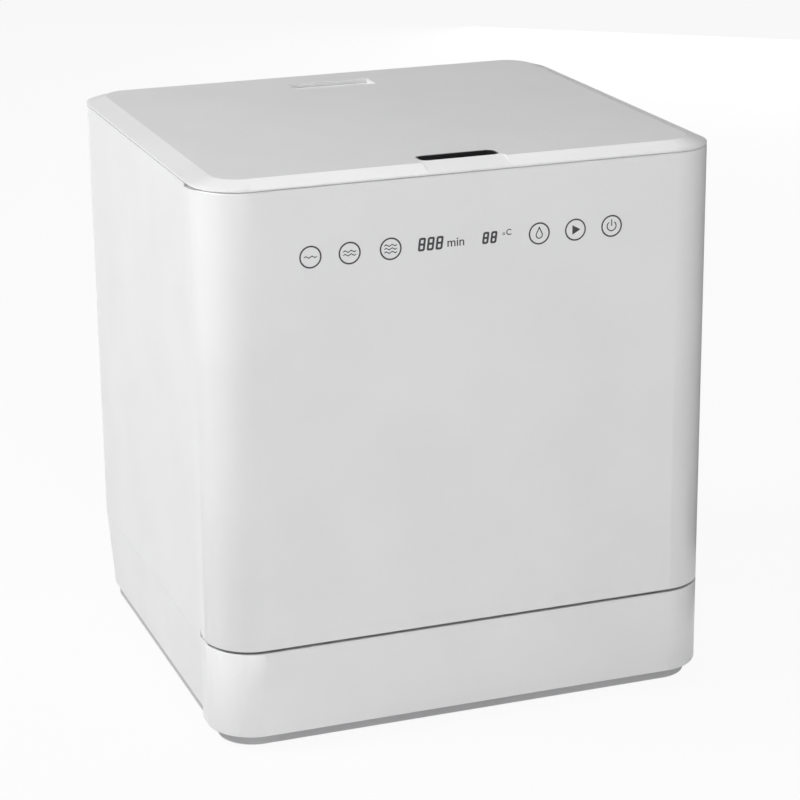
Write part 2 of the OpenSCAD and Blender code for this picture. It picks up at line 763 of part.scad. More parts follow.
module filter_cup() {
    z0 = sump_z0 + 5;
    z1 = tub_floor_z + 1.2;
    color(grey) translate([filter_x, tub_mid_y, 0]) {
        difference() {
            union() {
                translate([0, 0, z0]) cylinder(h = z1 - z0, r = filter_r, $fn = 96);
                translate([0, 0, z1]) cylinder(h = 1.6, r = filter_r + 3, $fn = 96);
            }
            translate([0, 0, z0 + 2]) cylinder(h = z1, r = filter_r - 2, $fn = 96);
            for (a = [0 : 30 : 150], k = [0 : 1]) rotate([0, 0, a])
                box([-filter_r - 1, -2.4, z0 + 5 + 20 * k], [filter_r + 1, 2.4, z0 + 21 + 20 * k]);
        }
        // grip across the cup
        box([-filter_r + 1, -1.5, z1 - 5], [filter_r - 1, 1.5, z1 + 6]);
    }
}

module spray_hub() {
    color(grey) translate([0, tub_mid_y, 0]) difference() {
        union() {
            translate([0, 0, sump_z0 - 3]) cylinder(h = arm_z - 1 - sump_z0 + 3, r = hub_r, $fn = 64);
            translate([0, 0, arm_z - 2]) cylinder(h = hub_top - arm_z + 2, r = 8, $fn = 64);
            translate([0, 0, arm_z + blade_t + 1.6]) cylinder(h = 3, r = 11, $fn = 64);
        }
        translate([0, 0, sump_z0 - 4]) cylinder(h = arm_z - sump_z0, r = hub_r - 2.5, $fn = 64);
        translate([0, 0, sump_z0 - 4]) cylinder(h = arm_z + blade_t - sump_z0 + 3, r = 5.5, $fn = 64);
        for (a = [0, 60, 120]) translate([0, 0, arm_z + 1 + blade_t / 2]) rotate([0, 0, a])
            rod_x(-9, 9, 0, 0, 1.6);
    }
}

// flat blade with two tapered wings and nozzle holes in one face
module spray_blade(reach, root_w, tip_w, up) {
    nozzles = 5;
    difference() {
        union() {
            linear_extrude(blade_t) for (a = [0, 180]) rotate(a) {
                polygon([[0, -root_w / 2], [reach - tip_w / 2, -tip_w / 2], [reach - tip_w / 2, tip_w / 2], [0, root_w / 2]]);
                translate([reach - tip_w / 2, 0]) circle(tip_w / 2, $fn = 48);
            }
            cylinder(h = blade_t, r = root_w / 2, $fn = 96);
            // raised spine along each wing
            for (a = [0, 180]) rotate([0, 0, a]) translate([0, 0, up ? blade_t - eps : -1])
                box([root_w / 2, -2, 0], [reach - tip_w, 2, 1 + eps]);
        }
        for (a = [0, 180], i = [1 : nozzles]) rotate([0, 0, a])
            translate([root_w / 2 + (reach - root_w / 2 - tip_w / 2) * i / nozzles, a == 0 ? 4 : -4, up ? blade_t / 2 : -2])
                cylinder(h = blade_t / 2 + 2, r = nozzle_r, $fn = 24);
    }
}

module lower_spray_arm() {
    color(grey) translate([0, tub_mid_y, arm_z]) difference() {
        spray_blade(lower_arm_r, 40, 18, true);
        translate([0, 0, -2]) cylinder(h = blade_t + 5, r = 8 + run_gap, $fn = 64);
        rotate_extrude($fn = 64) translate([8 + run_gap - eps, blade_t / 2 - 1.6]) square([3, 3.2]);
    }
}

duct_top = tub_ceiling_z - fit_gap;
upper_arm_z = duct_top - 28;

module upper_feed_pipe() {
    y1 = tub_y1 - fit_gap;
    y0 = y1 - pipe_d;
    color(grey) difference() {
        union() {
            box([-14, y0, tub_floor_z + fit_gap], [14, y1, duct_top]);
            box([-14, tub_mid_y, duct_top - 11], [14, y1, duct_top]);
            translate([0, tub_mid_y, duct_top - 11]) cylinder(h = 11, r = 14, $fn = 64);
            translate([0, tub_mid_y, upper_arm_z + blade_t + 0.8]) cylinder(h = duct_top - 11 - upper_arm_z - blade_t - 0.7, r = 11, $fn = 64);
            translate([0, tub_mid_y, upper_arm_z - 2]) cylinder(h = 12, r = 7, $fn = 64);
            translate([0, tub_mid_y, upper_arm_z - 4.8]) cylinder(h = 3, r = 10, $fn = 64);
            translate([0, feed_y, tub_floor_z - 14]) cylinder(h = 20, r = 7, $fn = 64);
        }
        box([-12, y0 + 2, tub_floor_z + 3], [12, y1 - 2, duct_top - 2]);
        box([-12, tub_mid_y, duct_top - 9], [12, y1 - 2, duct_top - 2]);
        translate([0, tub_mid_y, upper_arm_z]) cylinder(h = 24, r = 4.5, $fn = 64);
        translate([0, feed_y, tub_floor_z - 15]) cylinder(h = 22, r = 5, $fn = 64);
    }
}

module upper_spray_arm() {
    color(grey) translate([0, tub_mid_y, upper_arm_z]) difference() {
        spray_blade(upper_arm_r, 34, 14, false);
        translate([0, 0, -3]) cylinder(h = blade_t + 5, r = 7 + run_gap, $fn = 64);
        rotate_extrude($fn = 64) translate([7 + run_gap - eps, blade_t / 2 - 1.6]) square([3, 3.2]);
    }
}

// open ring over the tub's floor with two legs through it
module heater_element() {
    ring_z = tub_floor_z + 1.6 + loop_d / 2;
    color(steel) translate([0, tub_mid_y, 0]) {
        translate([0, 0, ring_z]) rotate([0, 0, 90 + loop_gap])
            rotate_extrude(angle = 360 - 2 * loop_gap, $fn = 96) translate([loop_r, 0]) circle(d = loop_d, $fn = 32);
        for (s = [-1, 1]) translate([s * loop_r * sin(loop_gap), loop_r * cos(loop_gap), 0]) {
            translate([0, 0, tub_floor_z - 20]) cylinder(h = ring_z - tub_floor_z + 20, d = loop_d, $fn = 32);
            translate([0, 0, ring_z]) sphere(d = loop_d, $fn = 32);
            translate([0, 0, sump_z1 - 4]) cylinder(h = 4 - fit_gap, r = 8, $fn = 6);
        }
        for (a = [-150, -90, -30]) rotate([0, 0, a]) translate([loop_r, 0, tub_floor_z + eps])
            cylinder(h = 3, r = 3, $fn = 32);
    }
}

module wash_pump() {
    x1 = sump_x - sump_r - 14 - fit_gap;
    duct_z = 24;
    color(dark) {
        rod_x(x1 - 104, x1 - 22, pump_y, pump_z, pump_r);
        rod_x(x1 - 24, x1 - 4, pump_y, pump_z, pump_r + 4);
        rod_x(x1 - 5, x1, pump_y, sump_z0 + 18, 12);
        rod_x(x1 - 110, x1 - 103, pump_y, pump_z, 10);
        // cooling ribs
        for (i = [0 : 7]) rod_x(x1 - 96 + 9 * i, x1 - 93 + 9 * i, pump_y, pump_z, pump_r + 2);
        // saddle on the base tray
        box([x1 - 92, pump_y - 22, tray_floor + fit_gap], [x1 - 34, pump_y + 22, pump_z - 20]);
        // delivery pipe under the sump to the hub
        translate([0, pump_y, 0]) rotate([90, 0, 0])
            wire_path([[x1 - 14, pump_z - 20], [x1 - 14, duct_z], [0, duct_z], [0, sump_z0 - 3 - fit_gap]], 12, 19);
    }
}

drain_pump_x = sump_x + sump_r + 14 + fit_gap;
drain_pump_z = sump_z0 + 14;

module drain_pump() {
    color(dark) {
        rod_x(drain_pump_x, drain_pump_x + 8, tub_mid_y, drain_pump_z, 9);
        rod_x(drain_pump_x + 7, drain_pump_x + 22, tub_mid_y, drain_pump_z, 24);
        rod_x(drain_pump_x + 21, drain_pump_x + 58, tub_mid_y, drain_pump_z, 19);
        rod_y(tub_mid_y, tub_mid_y + 34, drain_pump_x + 14, drain_pump_z - 12, 8);
        box([drain_pump_x + 10, tub_mid_y - 16, tray_floor + fit_gap], [drain_pump_x + 50, tub_mid_y + 16, drain_pump_z - 10]);
    }
}

module drain_hose() {
    z = drain_pump_z - 12;
    y0 = tub_mid_y + 34 + fit_gap;
    y1 = base_rear_y - pocket_d - 14;
    dx = drain_x - drain_pump_x - 14;
    dz = pocket_mid_z - z;
    run = norm([dx, dz]);
    color(black) difference() {
        translate([drain_pump_x + 14, y0, z]) rotate([0, atan2(-dz, dx), 0])
            wire_path([[0, 0], [0, (y1 - y0) / 2], [run, (y1 - y0) / 2], [run, y1 - y0]], run / 2.2, 16);
        translate([drain_pump_x + 14, y0, z]) rod_y(-1, 12, 0, 0, 5.5);
        translate([drain_x, y1, pocket_mid_z]) rod_y(-12, 1, 0, 0, 5.5);
    }
}

module drain_spigot() {
    y0 = base_rear_y - pocket_d - 14 + fit_gap;
    y1 = base_rear_y - 3;
    color(grey) difference() {
        union() {
            rod_y(y0, y1, drain_x, pocket_mid_z, drain_r);
            rod_y(base_rear_y - pocket_d - 4, base_rear_y - pocket_d - fit_gap, drain_x, pocket_mid_z, drain_r + 5);
            rod_y(base_rear_y - pocket_d - 1, base_rear_y - pocket_d + 2.2, drain_x, pocket_mid_z, drain_r + 1);
        }
        rod_y(y0 - 1, y1 + 1, drain_x, pocket_mid_z, drain_r - 2.5);
    }
}

module inlet_valve() {
    y_wall = base_rear_y - pocket_d;
    color(white) difference() {
        union() {
            rod_y(y_wall - 8, base_rear_y - 8, inlet_x, pocket_mid_z, inlet_r);
            rod_y(y_wall - 4, y_wall - fit_gap, inlet_x, pocket_mid_z, inlet_r + 4);
            rod_y(y_wall - 1, y_wall + 2.2, inlet_x, pocket_mid_z, inlet_r + 1);
            box([inlet_x - 16, y_wall - 34, pocket_mid_z - 15], [inlet_x + 16, y_wall - 7, pocket_mid_z + 15]);
            box([inlet_x - 12, y_wall - 32, tray_floor + fit_gap], [inlet_x + 12, y_wall - 12, pocket_mid_z]);
            translate([inlet_x, y_wall - 22, pocket_mid_z + 14]) cylinder(h = 22, r = 12, $fn = 64);
        }
        rod_y(y_wall - 4, base_rear_y, inlet_x, pocket_mid_z, inlet_r - 3);
    }
}

module mains_gland() {
    y1 = base_rear_y;
    color(black) difference() {
        union() {
            rod_y(y1 - panel_t - 9, y1 - fit_gap, gland_x, pocket_mid_z, gland_r + 4);
            rod_y(y1 - panel_t - 3, y1 - panel_t - fit_gap, gland_x, pocket_mid_z, gland_r + 7);
        }
        rod_y(y1 - panel_t - 10, y1 + 1, gland_x, pocket_mid_z, gland_r);
    }
}

module power_board() {
    x0 = -tub_w / 2;
    y0 = post_y - 65.7;
    color([0.1, 0.35, 0.2]) {
        box([x0, y0, tray_floor + 6], [x0 + 96, y0 + 54, tray_floor + 7.6]);
        for (x = [6, 90], y = [6, 48]) translate([x0 + x, y0 + y, tray_floor + fit_gap])
            cylinder(h = 6, r = 3, $fn = 32);
    }
    color(black) {
        box([x0 + 12, y0 + 4, tray_floor + 7.6 - eps], [x0 + 40, y0 + 32, tray_floor + 30]);
        box([x0 + 48, y0 + 6, tray_floor + 7.6 - eps], [x0 + 64, y0 + 20, tray_floor + 24]);
        box([x0 + 12, y0 + 40, tray_floor + 7.6 - eps], [x0 + 70, y0 + 46, tray_floor + 34]);
        for (k = [0, 1]) translate([x0 + 78, y0 + 14 + 18 * k, tray_floor + 7.6 - eps]) cylinder(h = 20, r = 6, $fn = 48);
    }
}

module water_tank() {
    neck_y0 = tank_y0 + 2.5;
    color([0.86, 0.88, 0.9]) difference() {
        box([-tank_hw, tank_y0, tank_z0], [tank_hw, tank_y1, tank_z1]);
        box([-tank_hw + 2.5, tank_y0 + 2.5, tank_z0 + 2.5], [tank_hw - 2.5, tank_y1 - 2.5, tank_z1 - 2.5]);
        box([-26, neck_y0, tank_z1 - 4], [26, port_y1 - 1, tank_z1 + 1]);
    }
}

module fill_funnel() {
    top = lid_top - lid_t - 0.3;
    out_hw = port_w / 2 - fit_gap;
    color(white) difference() {
        union() {
            port_hole(-fit_gap, tank_z1 + 8, top);
            box([-25.7, tank_y0 + 2.8, tank_z1 - 8], [25.7, port_y1 - 1.3, tank_z1 + 9]);
            box([-out_hw, tank_y0 + 1, tank_z1 + fit_gap], [out_hw, port_y1 - fit_gap, tank_z1 + 9]);
        }
        box([-out_hw + 2, port_y0 + 2 + fit_gap, tank_z1 + 10], [out_hw - 2, port_y1 - 2 - fit_gap, top + 1]);
        box([-23.7, tank_y0 + 4.8, tank_z1 - 9], [23.7, port_y1 - 3.3, top]);
        // room for the lid's rear edge as it swings down
        box([-port_w, port_y1 - 7, top - 2.6], [port_w, port_y1 + 1, top + 1]);
    }
}

module fill_lid() {
    pin_y = port_y1 - 2.6;
    pin_z = lid_top - lid_t / 2;
    y0 = port_y0 + 0.3;
    color(white) {
        difference() {
            intersection() {
                port_hole(-0.3, lid_top - lid_t, lid_top);
                y_band(0, pin_y);
            }
            // thumb notch
            translate([0, y0, lid_top + 5]) rod_x(-9, 9, 0, 0, 6);
        }
        rod_x(-port_w / 2 + 0.3, port_w / 2 - 0.3, pin_y, pin_z, lid_t / 2);
        rod_x(-port_w / 2 - 1.8, port_w / 2 + 1.8, pin_y, pin_z, 1.2);
    }
}

// ---------- door ----------

bracket_y1 = hinge_post_y + 20;

module hinge_brackets() {
    color(steel) for (m = [0, 1]) mirror([m, 0, 0]) plate_yz(hinge_x, hinge_x + hinge_t) difference() {
        union() {
            translate([pivot_y, pivot_z]) circle(eye_r, $fn = 48);
            translate([pivot_y, pivot_z - 4]) square([bracket_y1 - pivot_y, 8]);
            translate([hinge_post_y + 1, tray_floor + 30]) square([18, pivot_z - tray_floor - 30]);
        }
        translate([pivot_y, pivot_z]) circle(pin_r, $fn = 48);
    }
}

module hinge_pins() {
    x0 = hinge_x - 1.8;
    x1 = hinge_x + 2 * hinge_t + 2.2;
    color(steel) for (m = [0, 1]) mirror([m, 0, 0]) {
        rod_x(x0, x1, pivot_y, pivot_z, pin_r);
        rod_x(x0, hinge_x - 0.3, pivot_y, pivot_z, 3.7);
        rod_x(x1 - 0.9, x1, pivot_y, pivot_z, 3.7);
    }
}

module door_hinge_arms() {
    x0 = hinge_x + hinge_t + move_gap;
    x1 = x0 + hinge_t - 0.4;
    foot_y0 = liner_y - liner_t - 2.2;
    color(steel) for (m = [0, 1]) mirror([m, 0, 0]) {
        plate_yz(x0, x1) difference() {
            union() {
                translate([pivot_y, pivot_z]) circle(eye_r, $fn = 48);
                polygon([[pivot_y - eye_r, pivot_z], [pivot_y + eye_r, pivot_z - 1], [foot_y0 + 2, pivot_z + 22],
                    [foot_y0 + 2, pivot_z + 90], [foot_y0 - 10, pivot_z + 90], [pivot_y - 1, pivot_z + 24]]);
            }
            translate([pivot_y, pivot_z]) circle(pin_r + run_gap, $fn = 48);
        }
        difference() {
            box([x0, foot_y0, pivot_z + 24], [x0 + 18, foot_y0 + 2, pivot_z + 90]);
            for (z = [36, 78]) rod_y(foot_y0 - 1, foot_y0 + 3, x0 + 11, pivot_z + z, 2);
        }
    }
}

module door_edge() {
    h = door_z1 - door_z0;
    square([corner_r, h - door_edge_r]);
    square([corner_r - door_edge_r, h]);
    translate([corner_r - door_edge_r, h - door_edge_r]) circle(door_edge_r, $fn = 32);
}

// the falling top of the door from front to back, cut or moved down by drop
module door_top_wedge(drop) {
    plate_yz(-cabinet_w, cabinet_w)
        polygon([[front_y - 1, door_z1 - drop], [slot_y0 - 2, door_z1 - drop], [seam_y, door_z1 - door_top_fall - drop],
            [seam_y + 1, door_z1 - door_top_fall - drop], [seam_y + 1, cabinet_h + 5], [front_y - 1, cabinet_h + 5]]);
}

module door_shell() {
    edge_r = 8;
    color(white) {
        difference() {
            intersection() {
                translate([0, 0, door_z0]) edged_block(cabinet_w, cabinet_d, corner_r, door_z1 - door_z0) door_edge();
                y_band(front_y - 1, seam_y);
            }
            // hollow inside
            difference() {
                cabinet_slab(panel_t, door_z0 + panel_t, door_z1 + 1);
                door_top_wedge(panel_t);
                // pocket for the latch
                box([-notch_hw, front_y, notch_z - 2], [notch_hw, seam_y + 1, cabinet_h]);
            }
            door_top_wedge(0);
            // latch pocket, open at the top and the back
            box([-notch_hw + 2, notch_y, notch_z], [notch_hw - 2, seam_y + 1, cabinet_h]);
            // the pocket's front space stays hollow
            box([-notch_hw + 2, shell_in_y, notch_z], [notch_hw - 2, notch_y - 2, door_z1 - panel_t]);
            box([-notch_hw - 1, liner_y + eps, notch_z - 3], [notch_hw + 1, seam_y + 1, cabinet_h]);
            // open behind the bottom plate
            box([-hw + panel_t, seam_y - 8, door_z0 - 1], [hw - panel_t, seam_y + 1, door_z0 + panel_t + 1]);
            // slots for the hinge brackets
            for (s = [-1, 1]) {
                x = s * (hinge_x + hinge_t / 2);
                box([x - hinge_t / 2 - 1, shell_in_y, door_z0 - 1], [x + hinge_t / 2 + 1, seam_y + 1, door_z0 + panel_t + 1]);
            }
            // rounded lower back corners of the wrapped sides
            plate_yz(-cabinet_w, cabinet_w) difference() {
                translate([seam_y - edge_r, door_z0 - 1]) square([edge_r + 1, edge_r + 1]);
                translate([seam_y - edge_r, door_z0 + edge_r]) circle(edge_r, $fn = 48);
            }
        }
    }
}

liner_top = door_z1 - door_top_fall - panel_t - fit_gap;
liner_bottom = door_z0 + panel_t + fit_gap;
liner_hw = hw - panel_t - fit_gap;
dish_w = 300;
dish_h = 262;
dish_z = open_mid_z;
screw_spots = [for (x = [-1, 1], z = [liner_bottom + 16, open_mid_z, liner_top - 14]) [x * (liner_hw - 12), z]];

module liner_outline() {
    h = liner_top - liner_bottom;
    difference() {
        translate([0, liner_bottom + h / 2]) rounded_rect(2 * liner_hw, h, 6);
        translate([-notch_hw - fit_gap, notch_z - 2 - fit_gap]) square([2 * notch_hw + 2 * fit_gap, 60]);
        for (s = [-1, 1]) translate([s * (hinge_x + hinge_t / 2) - hinge_t / 2 - 1, liner_bottom - 1])
            square([hinge_t + 2, pivot_z + 5.5 - liner_bottom + 1]);
    }
}

module door_inner_panel() {
    h = liner_top - liner_bottom;
    color(steel) difference() {
        union() {
            difference() {
                plate_xz(liner_y - liner_t, liner_y) liner_outline();
                plate_xz(liner_y - liner_t - 1, liner_y + 1) translate([0, dish_z]) rounded_rect(dish_w, dish_h, 24);
            }
            // pressed dish with its step
            plate_xz(disp_face_y - liner_t, disp_face_y) translate([0, dish_z]) rounded_rect(dish_w, dish_h, 24);
            plate_xz(disp_face_y - liner_t, liner_y) difference() {
                translate([0, dish_z]) rounded_rect(dish_w + 2 * liner_t, dish_h + 2 * liner_t, 24 + liner_t);
                translate([0, dish_z]) rounded_rect(dish_w, dish_h, 24);
            }
            // folded flanges up both sides
            for (s = [-1, 1]) {
                x = s * (liner_hw - liner_t / 2);
                box([x - liner_t / 2, liner_y - 14, liner_bottom + 8], [x + liner_t / 2, liner_y - eps, liner_top - 8]);
            }
        }
        plate_xz(front_y, 0) translate([0, disp_z]) rounded_rect(disp_w - 14, disp_h - 10, 4);
        for (p = screw_spots) rod_y(front_y, 0, p.x, p.y, 1.6 + fit_gap);
    }
}

module liner_screws() {
    color(steel) for (p = screw_spots) {
        difference() {
            rod_y(liner_y + 0.1, liner_y + 1.6, p.x, p.y, 3.6);
            box([p.x - 2.4, liner_y + 0.9, p.y - 0.4], [p.x + 2.4, liner_y + 3, p.y + 0.4]);
            box([p.x - 0.4, liner_y + 0.9, p.y - 2.4], [p.x + 0.4, liner_y + 3, p.y + 2.4]);
        }
        rod_y(liner_y - 9, liner_y + 0.2, p.x, p.y, 1.6);
    }
}

mark_z = door_z1 - 54;
key_x = [-126, -95, -64, 58, 89, 120];

module touch_board() {
    y0 = shell_in_y + fit_gap;
    color([0.1, 0.35, 0.2]) {
        box([68 - hw, y0, mark_z - 14], [hw - 68, y0 + 1.6, mark_z + 14]);
        for (x = key_x) rod_y(y0 + 1.5, y0 + 4, x, mark_z, 8);
        box([-16, y0 + 1.5, mark_z - 12], [40, y0 + 7, mark_z - 4]);
    }
}

module display_module() {
    y0 = shell_in_y + fit_gap + 1.6 + fit_gap;
    color(black) difference() {
        box([-46, y0, mark_z - 3.5], [42, y0 + 8, mark_z + 12]);
        for (x = [-36 : 12 : 36]) box([x - 4, y0 + 6, mark_z], [x + 4, y0 + 9, mark_z + 8]);
    }
}

cup_x0 = -disp_w / 2 + 12;
cup_x1 = -6;
cup_low = disp_z - disp_h / 2 + 12;
cup_high = cup_low + 44;
lid_low = cup_low - 3;
lid_high = cup_high + 3;
channel_y = disp_face_y + disp_out - 2.2;
rinse_x = 31;
rinse_z = cup_low + 24;
rinse_r = 15;

module dispenser_body() {
    back = 26;
    color([0.8, 0.81, 0.82]) difference() {
        union() {
            plate_xz(disp_face_y, disp_face_y + disp_out) translate([0, disp_z]) rounded_rect(disp_w, disp_h, 8);
            plate_xz(disp_face_y - back, disp_face_y + eps) translate([0, disp_z])
                rounded_rect(disp_w - 14.6, disp_h - 10.6, 4);
        }
        // channel that the lid slides in, with side grooves
        box([cup_x0 - 3, channel_y, lid_low - 1], [cup_x1 + 3, liner_y + 9, lid_high + lid_travel + 0.6]);
        box([cup_x0 - 4.2, channel_y, lid_low - 1], [cup_x1 + 4.2, channel_y + 1, lid_high + lid_travel + 0.6]);
        // powder cup
        plate_xz(disp_face_y - back + 3, liner_y + 9) translate([(cup_x0 + cup_x1) / 2, (cup_low + cup_high) / 2])
            rounded_rect(cup_x1 - cup_x0, cup_high - cup_low, 6);
        // rinse aid filler
        rod_y(disp_face_y - back + 3, liner_y + 9, rinse_x, rinse_z, 11);
        // level window
        rod_y(disp_face_y + disp_out - 1.5, liner_y + 9, rinse_x, rinse_z + 44, 5);
    }
}

module dispenser_lid() {
    y0 = channel_y + fit_gap;
    y1 = disp_face_y + disp_out - 0.2;
    color([0.62, 0.64, 0.66]) {
        box([cup_x0 - 3 + fit_gap, y0, lid_low], [cup_x1 + 3 - fit_gap, y1, lid_high]);
        box([cup_x0 - 4.2 + fit_gap, y0, lid_low], [cup_x1 + 4.2 - fit_gap, y0 + 0.6, lid_high]);
        // thumb ridge
        box([cup_x0 + 8, y1 - eps, lid_low + 4], [cup_x1 - 8, y1 + 1.6, lid_low + 7]);
    }
}

module rinse_cap() {
    y0 = disp_face_y + disp_out + 0.2;
    color([0.3, 0.45, 0.7]) {
        rod_y(y0, y0 + 1.6, rinse_x, rinse_z, rinse_r);
        rod_y(y0 - 8, y0 + eps, rinse_x, rinse_z, 10.7);
        box([rinse_x - rinse_r + 2, y0 + 1.6 - eps, rinse_z - 2], [rinse_x + rinse_r - 2, y0 + 3, rinse_z + 2]);
    }
}

// ---------- latch ----------

bar_y0 = slot_y0 - 5;
bar_y1 = bar_y0 + 2.5;

module latch_striker() {
    cheek_x = 9;
    color(steel) {
        box([-cheek_x - 5, notch_y + fit_gap, notch_z + fit_gap], [cheek_x + 5, notch_y + 1.7, bar_z + 8]);
        box([-cheek_x - 2, bar_y0, bar_z], [cheek_x + 2, bar_y1, bar_z + 4]);
        for (s = [-1, 1]) {
            x = s * (cheek_x + 1);
            box([x - 1, notch_y + 1, bar_z - 2], [x + 1, bar_y1, bar_z + 4]);
        }
    }
}

module latch_cup() {
    y0 = slot_y0 + fit_gap;
    y1 = slot_y1 - fit_gap;
    under = cabinet_h - panel_t;
    color(black) difference() {
        union() {
            slot_hole(-fit_gap, cup_z0, cabinet_h - 0.3);
            translate([0, (slot_y0 + slot_y1) / 2 + 2, under - 1.7]) linear_extrude(1.5)
                rounded_rect(slot_w + 14, slot_d + 8, 4);
        }
        slot_hole(-fit_gap - cup_t, cup_z0 + cup_t, cabinet_h + 1);
        // window for the hook
        box([-6.5, y0 - 1, cup_z0 - 1], [6.5, lever_y + 1, lever_z + 6]);
        rod_x(-slot_w, slot_w, lever_y, lever_z, lever_pin_r + 0.02);
    }
}

module latch_pin() {
    color(steel) rod_x(-slot_w / 2 + 0.8, slot_w / 2 - 0.8, lever_y, lever_z, lever_pin_r);
}

lever_hw = slot_w / 2 - 5;

module release_lever() {
    color(black) difference() {
        union() {
            // flap that the fingers pull
            plate_yz(-lever_hw, lever_hw) polygon([[lever_y - 1.2, lever_z], [lever_y + 1.8, lever_z],
                [lever_y + 1.8, cabinet_h - 6], [lever_y + 0.6, cabinet_h - 4], [lever_y - 0.4, cabinet_h - 6]]);
            rod_x(-lever_hw, lever_hw, lever_y, lever_z, 3);
            // hook under the striker's bar
            plate_yz(-5, 5) polygon([[lever_y, lever_z - 2.4], [bar_y0 - 4, lever_z - 2.2], [bar_y0 - 4, bar_z + 1.6],
                [bar_y0 - 2.6, bar_z + 2], [bar_y0 - 0.4, bar_z + 2], [bar_y0 - 0.4, bar_z - 0.7], [lever_y, bar_z - 0.7]]);
        }
        rod_x(-lever_hw - 1, lever_hw + 1, lever_y, lever_z, lever_pin_r + run_gap);
        // gap for the spring
        box([12, lever_y - 4, lever_z - 4], [20, lever_y + 4, lever_z + 4]);
    }
}

// torsion spring on the lever's pin: four turns and two legs
spring_turns = 4;
spring_r = 2.3;
spring_wire = 0.6;
spring_x0 = 13;
spring_pitch = 1.3;

function spring_point(a) = [spring_x0 + spring_wire + spring_pitch * a / 360,
    lever_y + spring_r * cos(a), lever_z + spring_r * sin(a)];

// six-sided tube along points; each ring lies across the direction of travel
function tube_ring(p, dir, r) = let (u = unit(cross(dir, abs(dir.x) < 0.9 ? [1, 0, 0] : [0, 1, 0])), v = cross(dir, u))
    [for (k = [0 : 5]) p + r * (cos(60 * k) * u + sin(60 * k) * v)];

module tube_along(pts, r) {
    n = len(pts);
    dirs = [for (i = [0 : n - 1]) unit(pts[min(i + 1, n - 1)] - pts[max(i - 1, 0)])];
    rings = [for (i = [0 : n - 1]) each tube_ring(pts[i], dirs[i], r)];
    sides = [for (i = [0 : n - 2], k = [0 : 5]) [6 * i + k, 6 * i + (k + 1) % 6, 6 * i + 6 + (k + 1) % 6, 6 * i + 6 + k]];
    polyhedron(rings, concat([[for (k = [5 : -1 : 0]) k]], sides, [[for (k = [0 : 5]) 6 * (n - 1) + k]]));
}

module lever_spring() {
    turns = [for (a = [0 : 30 : 360 * spring_turns]) spring_point(a)];
    last = spring_point(360 * spring_turns);
    color(steel) tube_along(concat(turns, [last + [0, 0.4, 1.2], last + [0, 0.4, 3.2]]), spring_wire / 2);
}

// ---------- racks ----------

rack_front = rack_y0 + rim_d;
rack_back = rack_y1 - rim_d;
rack_rim_z = tray_z - rack_under;
rack_pitch = (rack_hw - 19) / 5;
slope_h = 48;
slope_z = rack_z0 + slope_h;
slope_y = rack_front + 0.75 * slope_h;
side_wire_step = (rack_back - slope_y - 30) / 5;
floor_wire_z = rack_z0 + side_out;
shelf_z = rack_z0 + 75;

module rim_frame(z, d, half, y0, y1, bend) {
    translate([0, (y0 + y1) / 2, z]) swept_frame(2 * half, y1 - y0, bend) circle(d = d, $fn = 24);
}

// wires that run front to back, with the sloped front; the outer two carry the roller axles
module lower_rack() {
    color(steel) {
        for (i = [-5 : 5]) translate([i * rack_pitch, 0, 0]) rotate([90, 0, 90])
            wire_path([[rack_front, rack_rim_z], [rack_front, slope_z], [slope_y, rack_z0],
                [rack_back, rack_z0], [rack_back, rack_rim_z]], 12, wire_d);
        for (s = [0, 1], y = [roller_front_y, roller_rear_y]) mirror([s, 0, 0]) {
            rod_x(4.6 * rack_pitch, roller_x + roller_w + 1.2, y, roller_z, axle_r);
            rod_x(roller_x - 1.2, roller_x - 0.3, y, roller_z, 3.2);
            rod_x(roller_x + roller_w + 0.3, roller_x + roller_w + 1.2, y, roller_z, 3);
        }
    }
}

// wires that run side to side, and under the floor two bars with the plate tines
module rack_cross_wires() {
    tine_z = rack_z0 - side_out;
    color(steel) {
        for (j = [0 : 5]) translate([0, slope_y + 10 + j * side_wire_step, 0]) rotate([90, 0, 0])
            wire_path([[-rack_hw, rack_rim_z], [-rack_hw, floor_wire_z], [rack_hw, floor_wire_z],
                [rack_hw, rack_rim_z]], 12, wire_d);
        for (row = [-1, 1]) {
            y = tub_mid_y + 6 + 42 * row;
            rod_x(-5 * rack_pitch, 2.9 * rack_pitch, y, tine_z, wire_d / 2);
            for (i = [-4 : 2]) {
                x = (i + 0.5) * rack_pitch - 7;
                rod([x, y, tine_z], [x, y + 9, rack_z0 + tine_h], wire_d);
            }
        }
    }
}

// rims welded round the upright wires, at the top and at the height of the shelf
module rack_rims() {
    color(steel) {
        rim_frame(rack_rim_z, rim_d, rack_hw + rim_out, rack_front - rim_out, rack_back + rim_out, 14);
        rim_frame(shelf_z, wire_d, rack_hw + side_out, rack_front - side_out, rack_back + side_out, 14);
    }
}

module roller(side, y) {
    x0 = roller_x;
    color(grey) mirror([side > 0 ? 0 : 1, 0, 0]) translate([x0, y, roller_z]) rotate([0, 90, 0])
        rotate_extrude($fn = 96) difference() {
            union() {
                translate([0, 0]) square([roller_r - 0.8, roller_w]);
                translate([0, 0.8]) square([roller_r, roller_w - 1.6]);
            }
            translate([-1, -1]) square([1 + axle_r + run_gap, roller_w + 2]);
            translate([roller_r * 0.45, -1]) square([roller_r * 0.3, 2.2]);
            translate([roller_r * 0.45, roller_w - 1.2]) square([roller_r * 0.3, 2.2]);
        }
}

module roller_front_left() { roller(-1, roller_front_y); }
module roller_front_right() { roller(1, roller_front_y); }
module roller_rear_left() { roller(-1, roller_rear_y); }
module roller_rear_right() { roller(1, roller_rear_y); }

basket_x1 = rack_hw - 12;
basket_x0 = basket_x1 - 56;
basket_y0 = slope_y + 6;
basket_len = 140;
basket_z0 = floor_wire_z + wire_d / 2 + fit_gap;
basket_h = rack_rim_z - rack_z0 - basket_under;

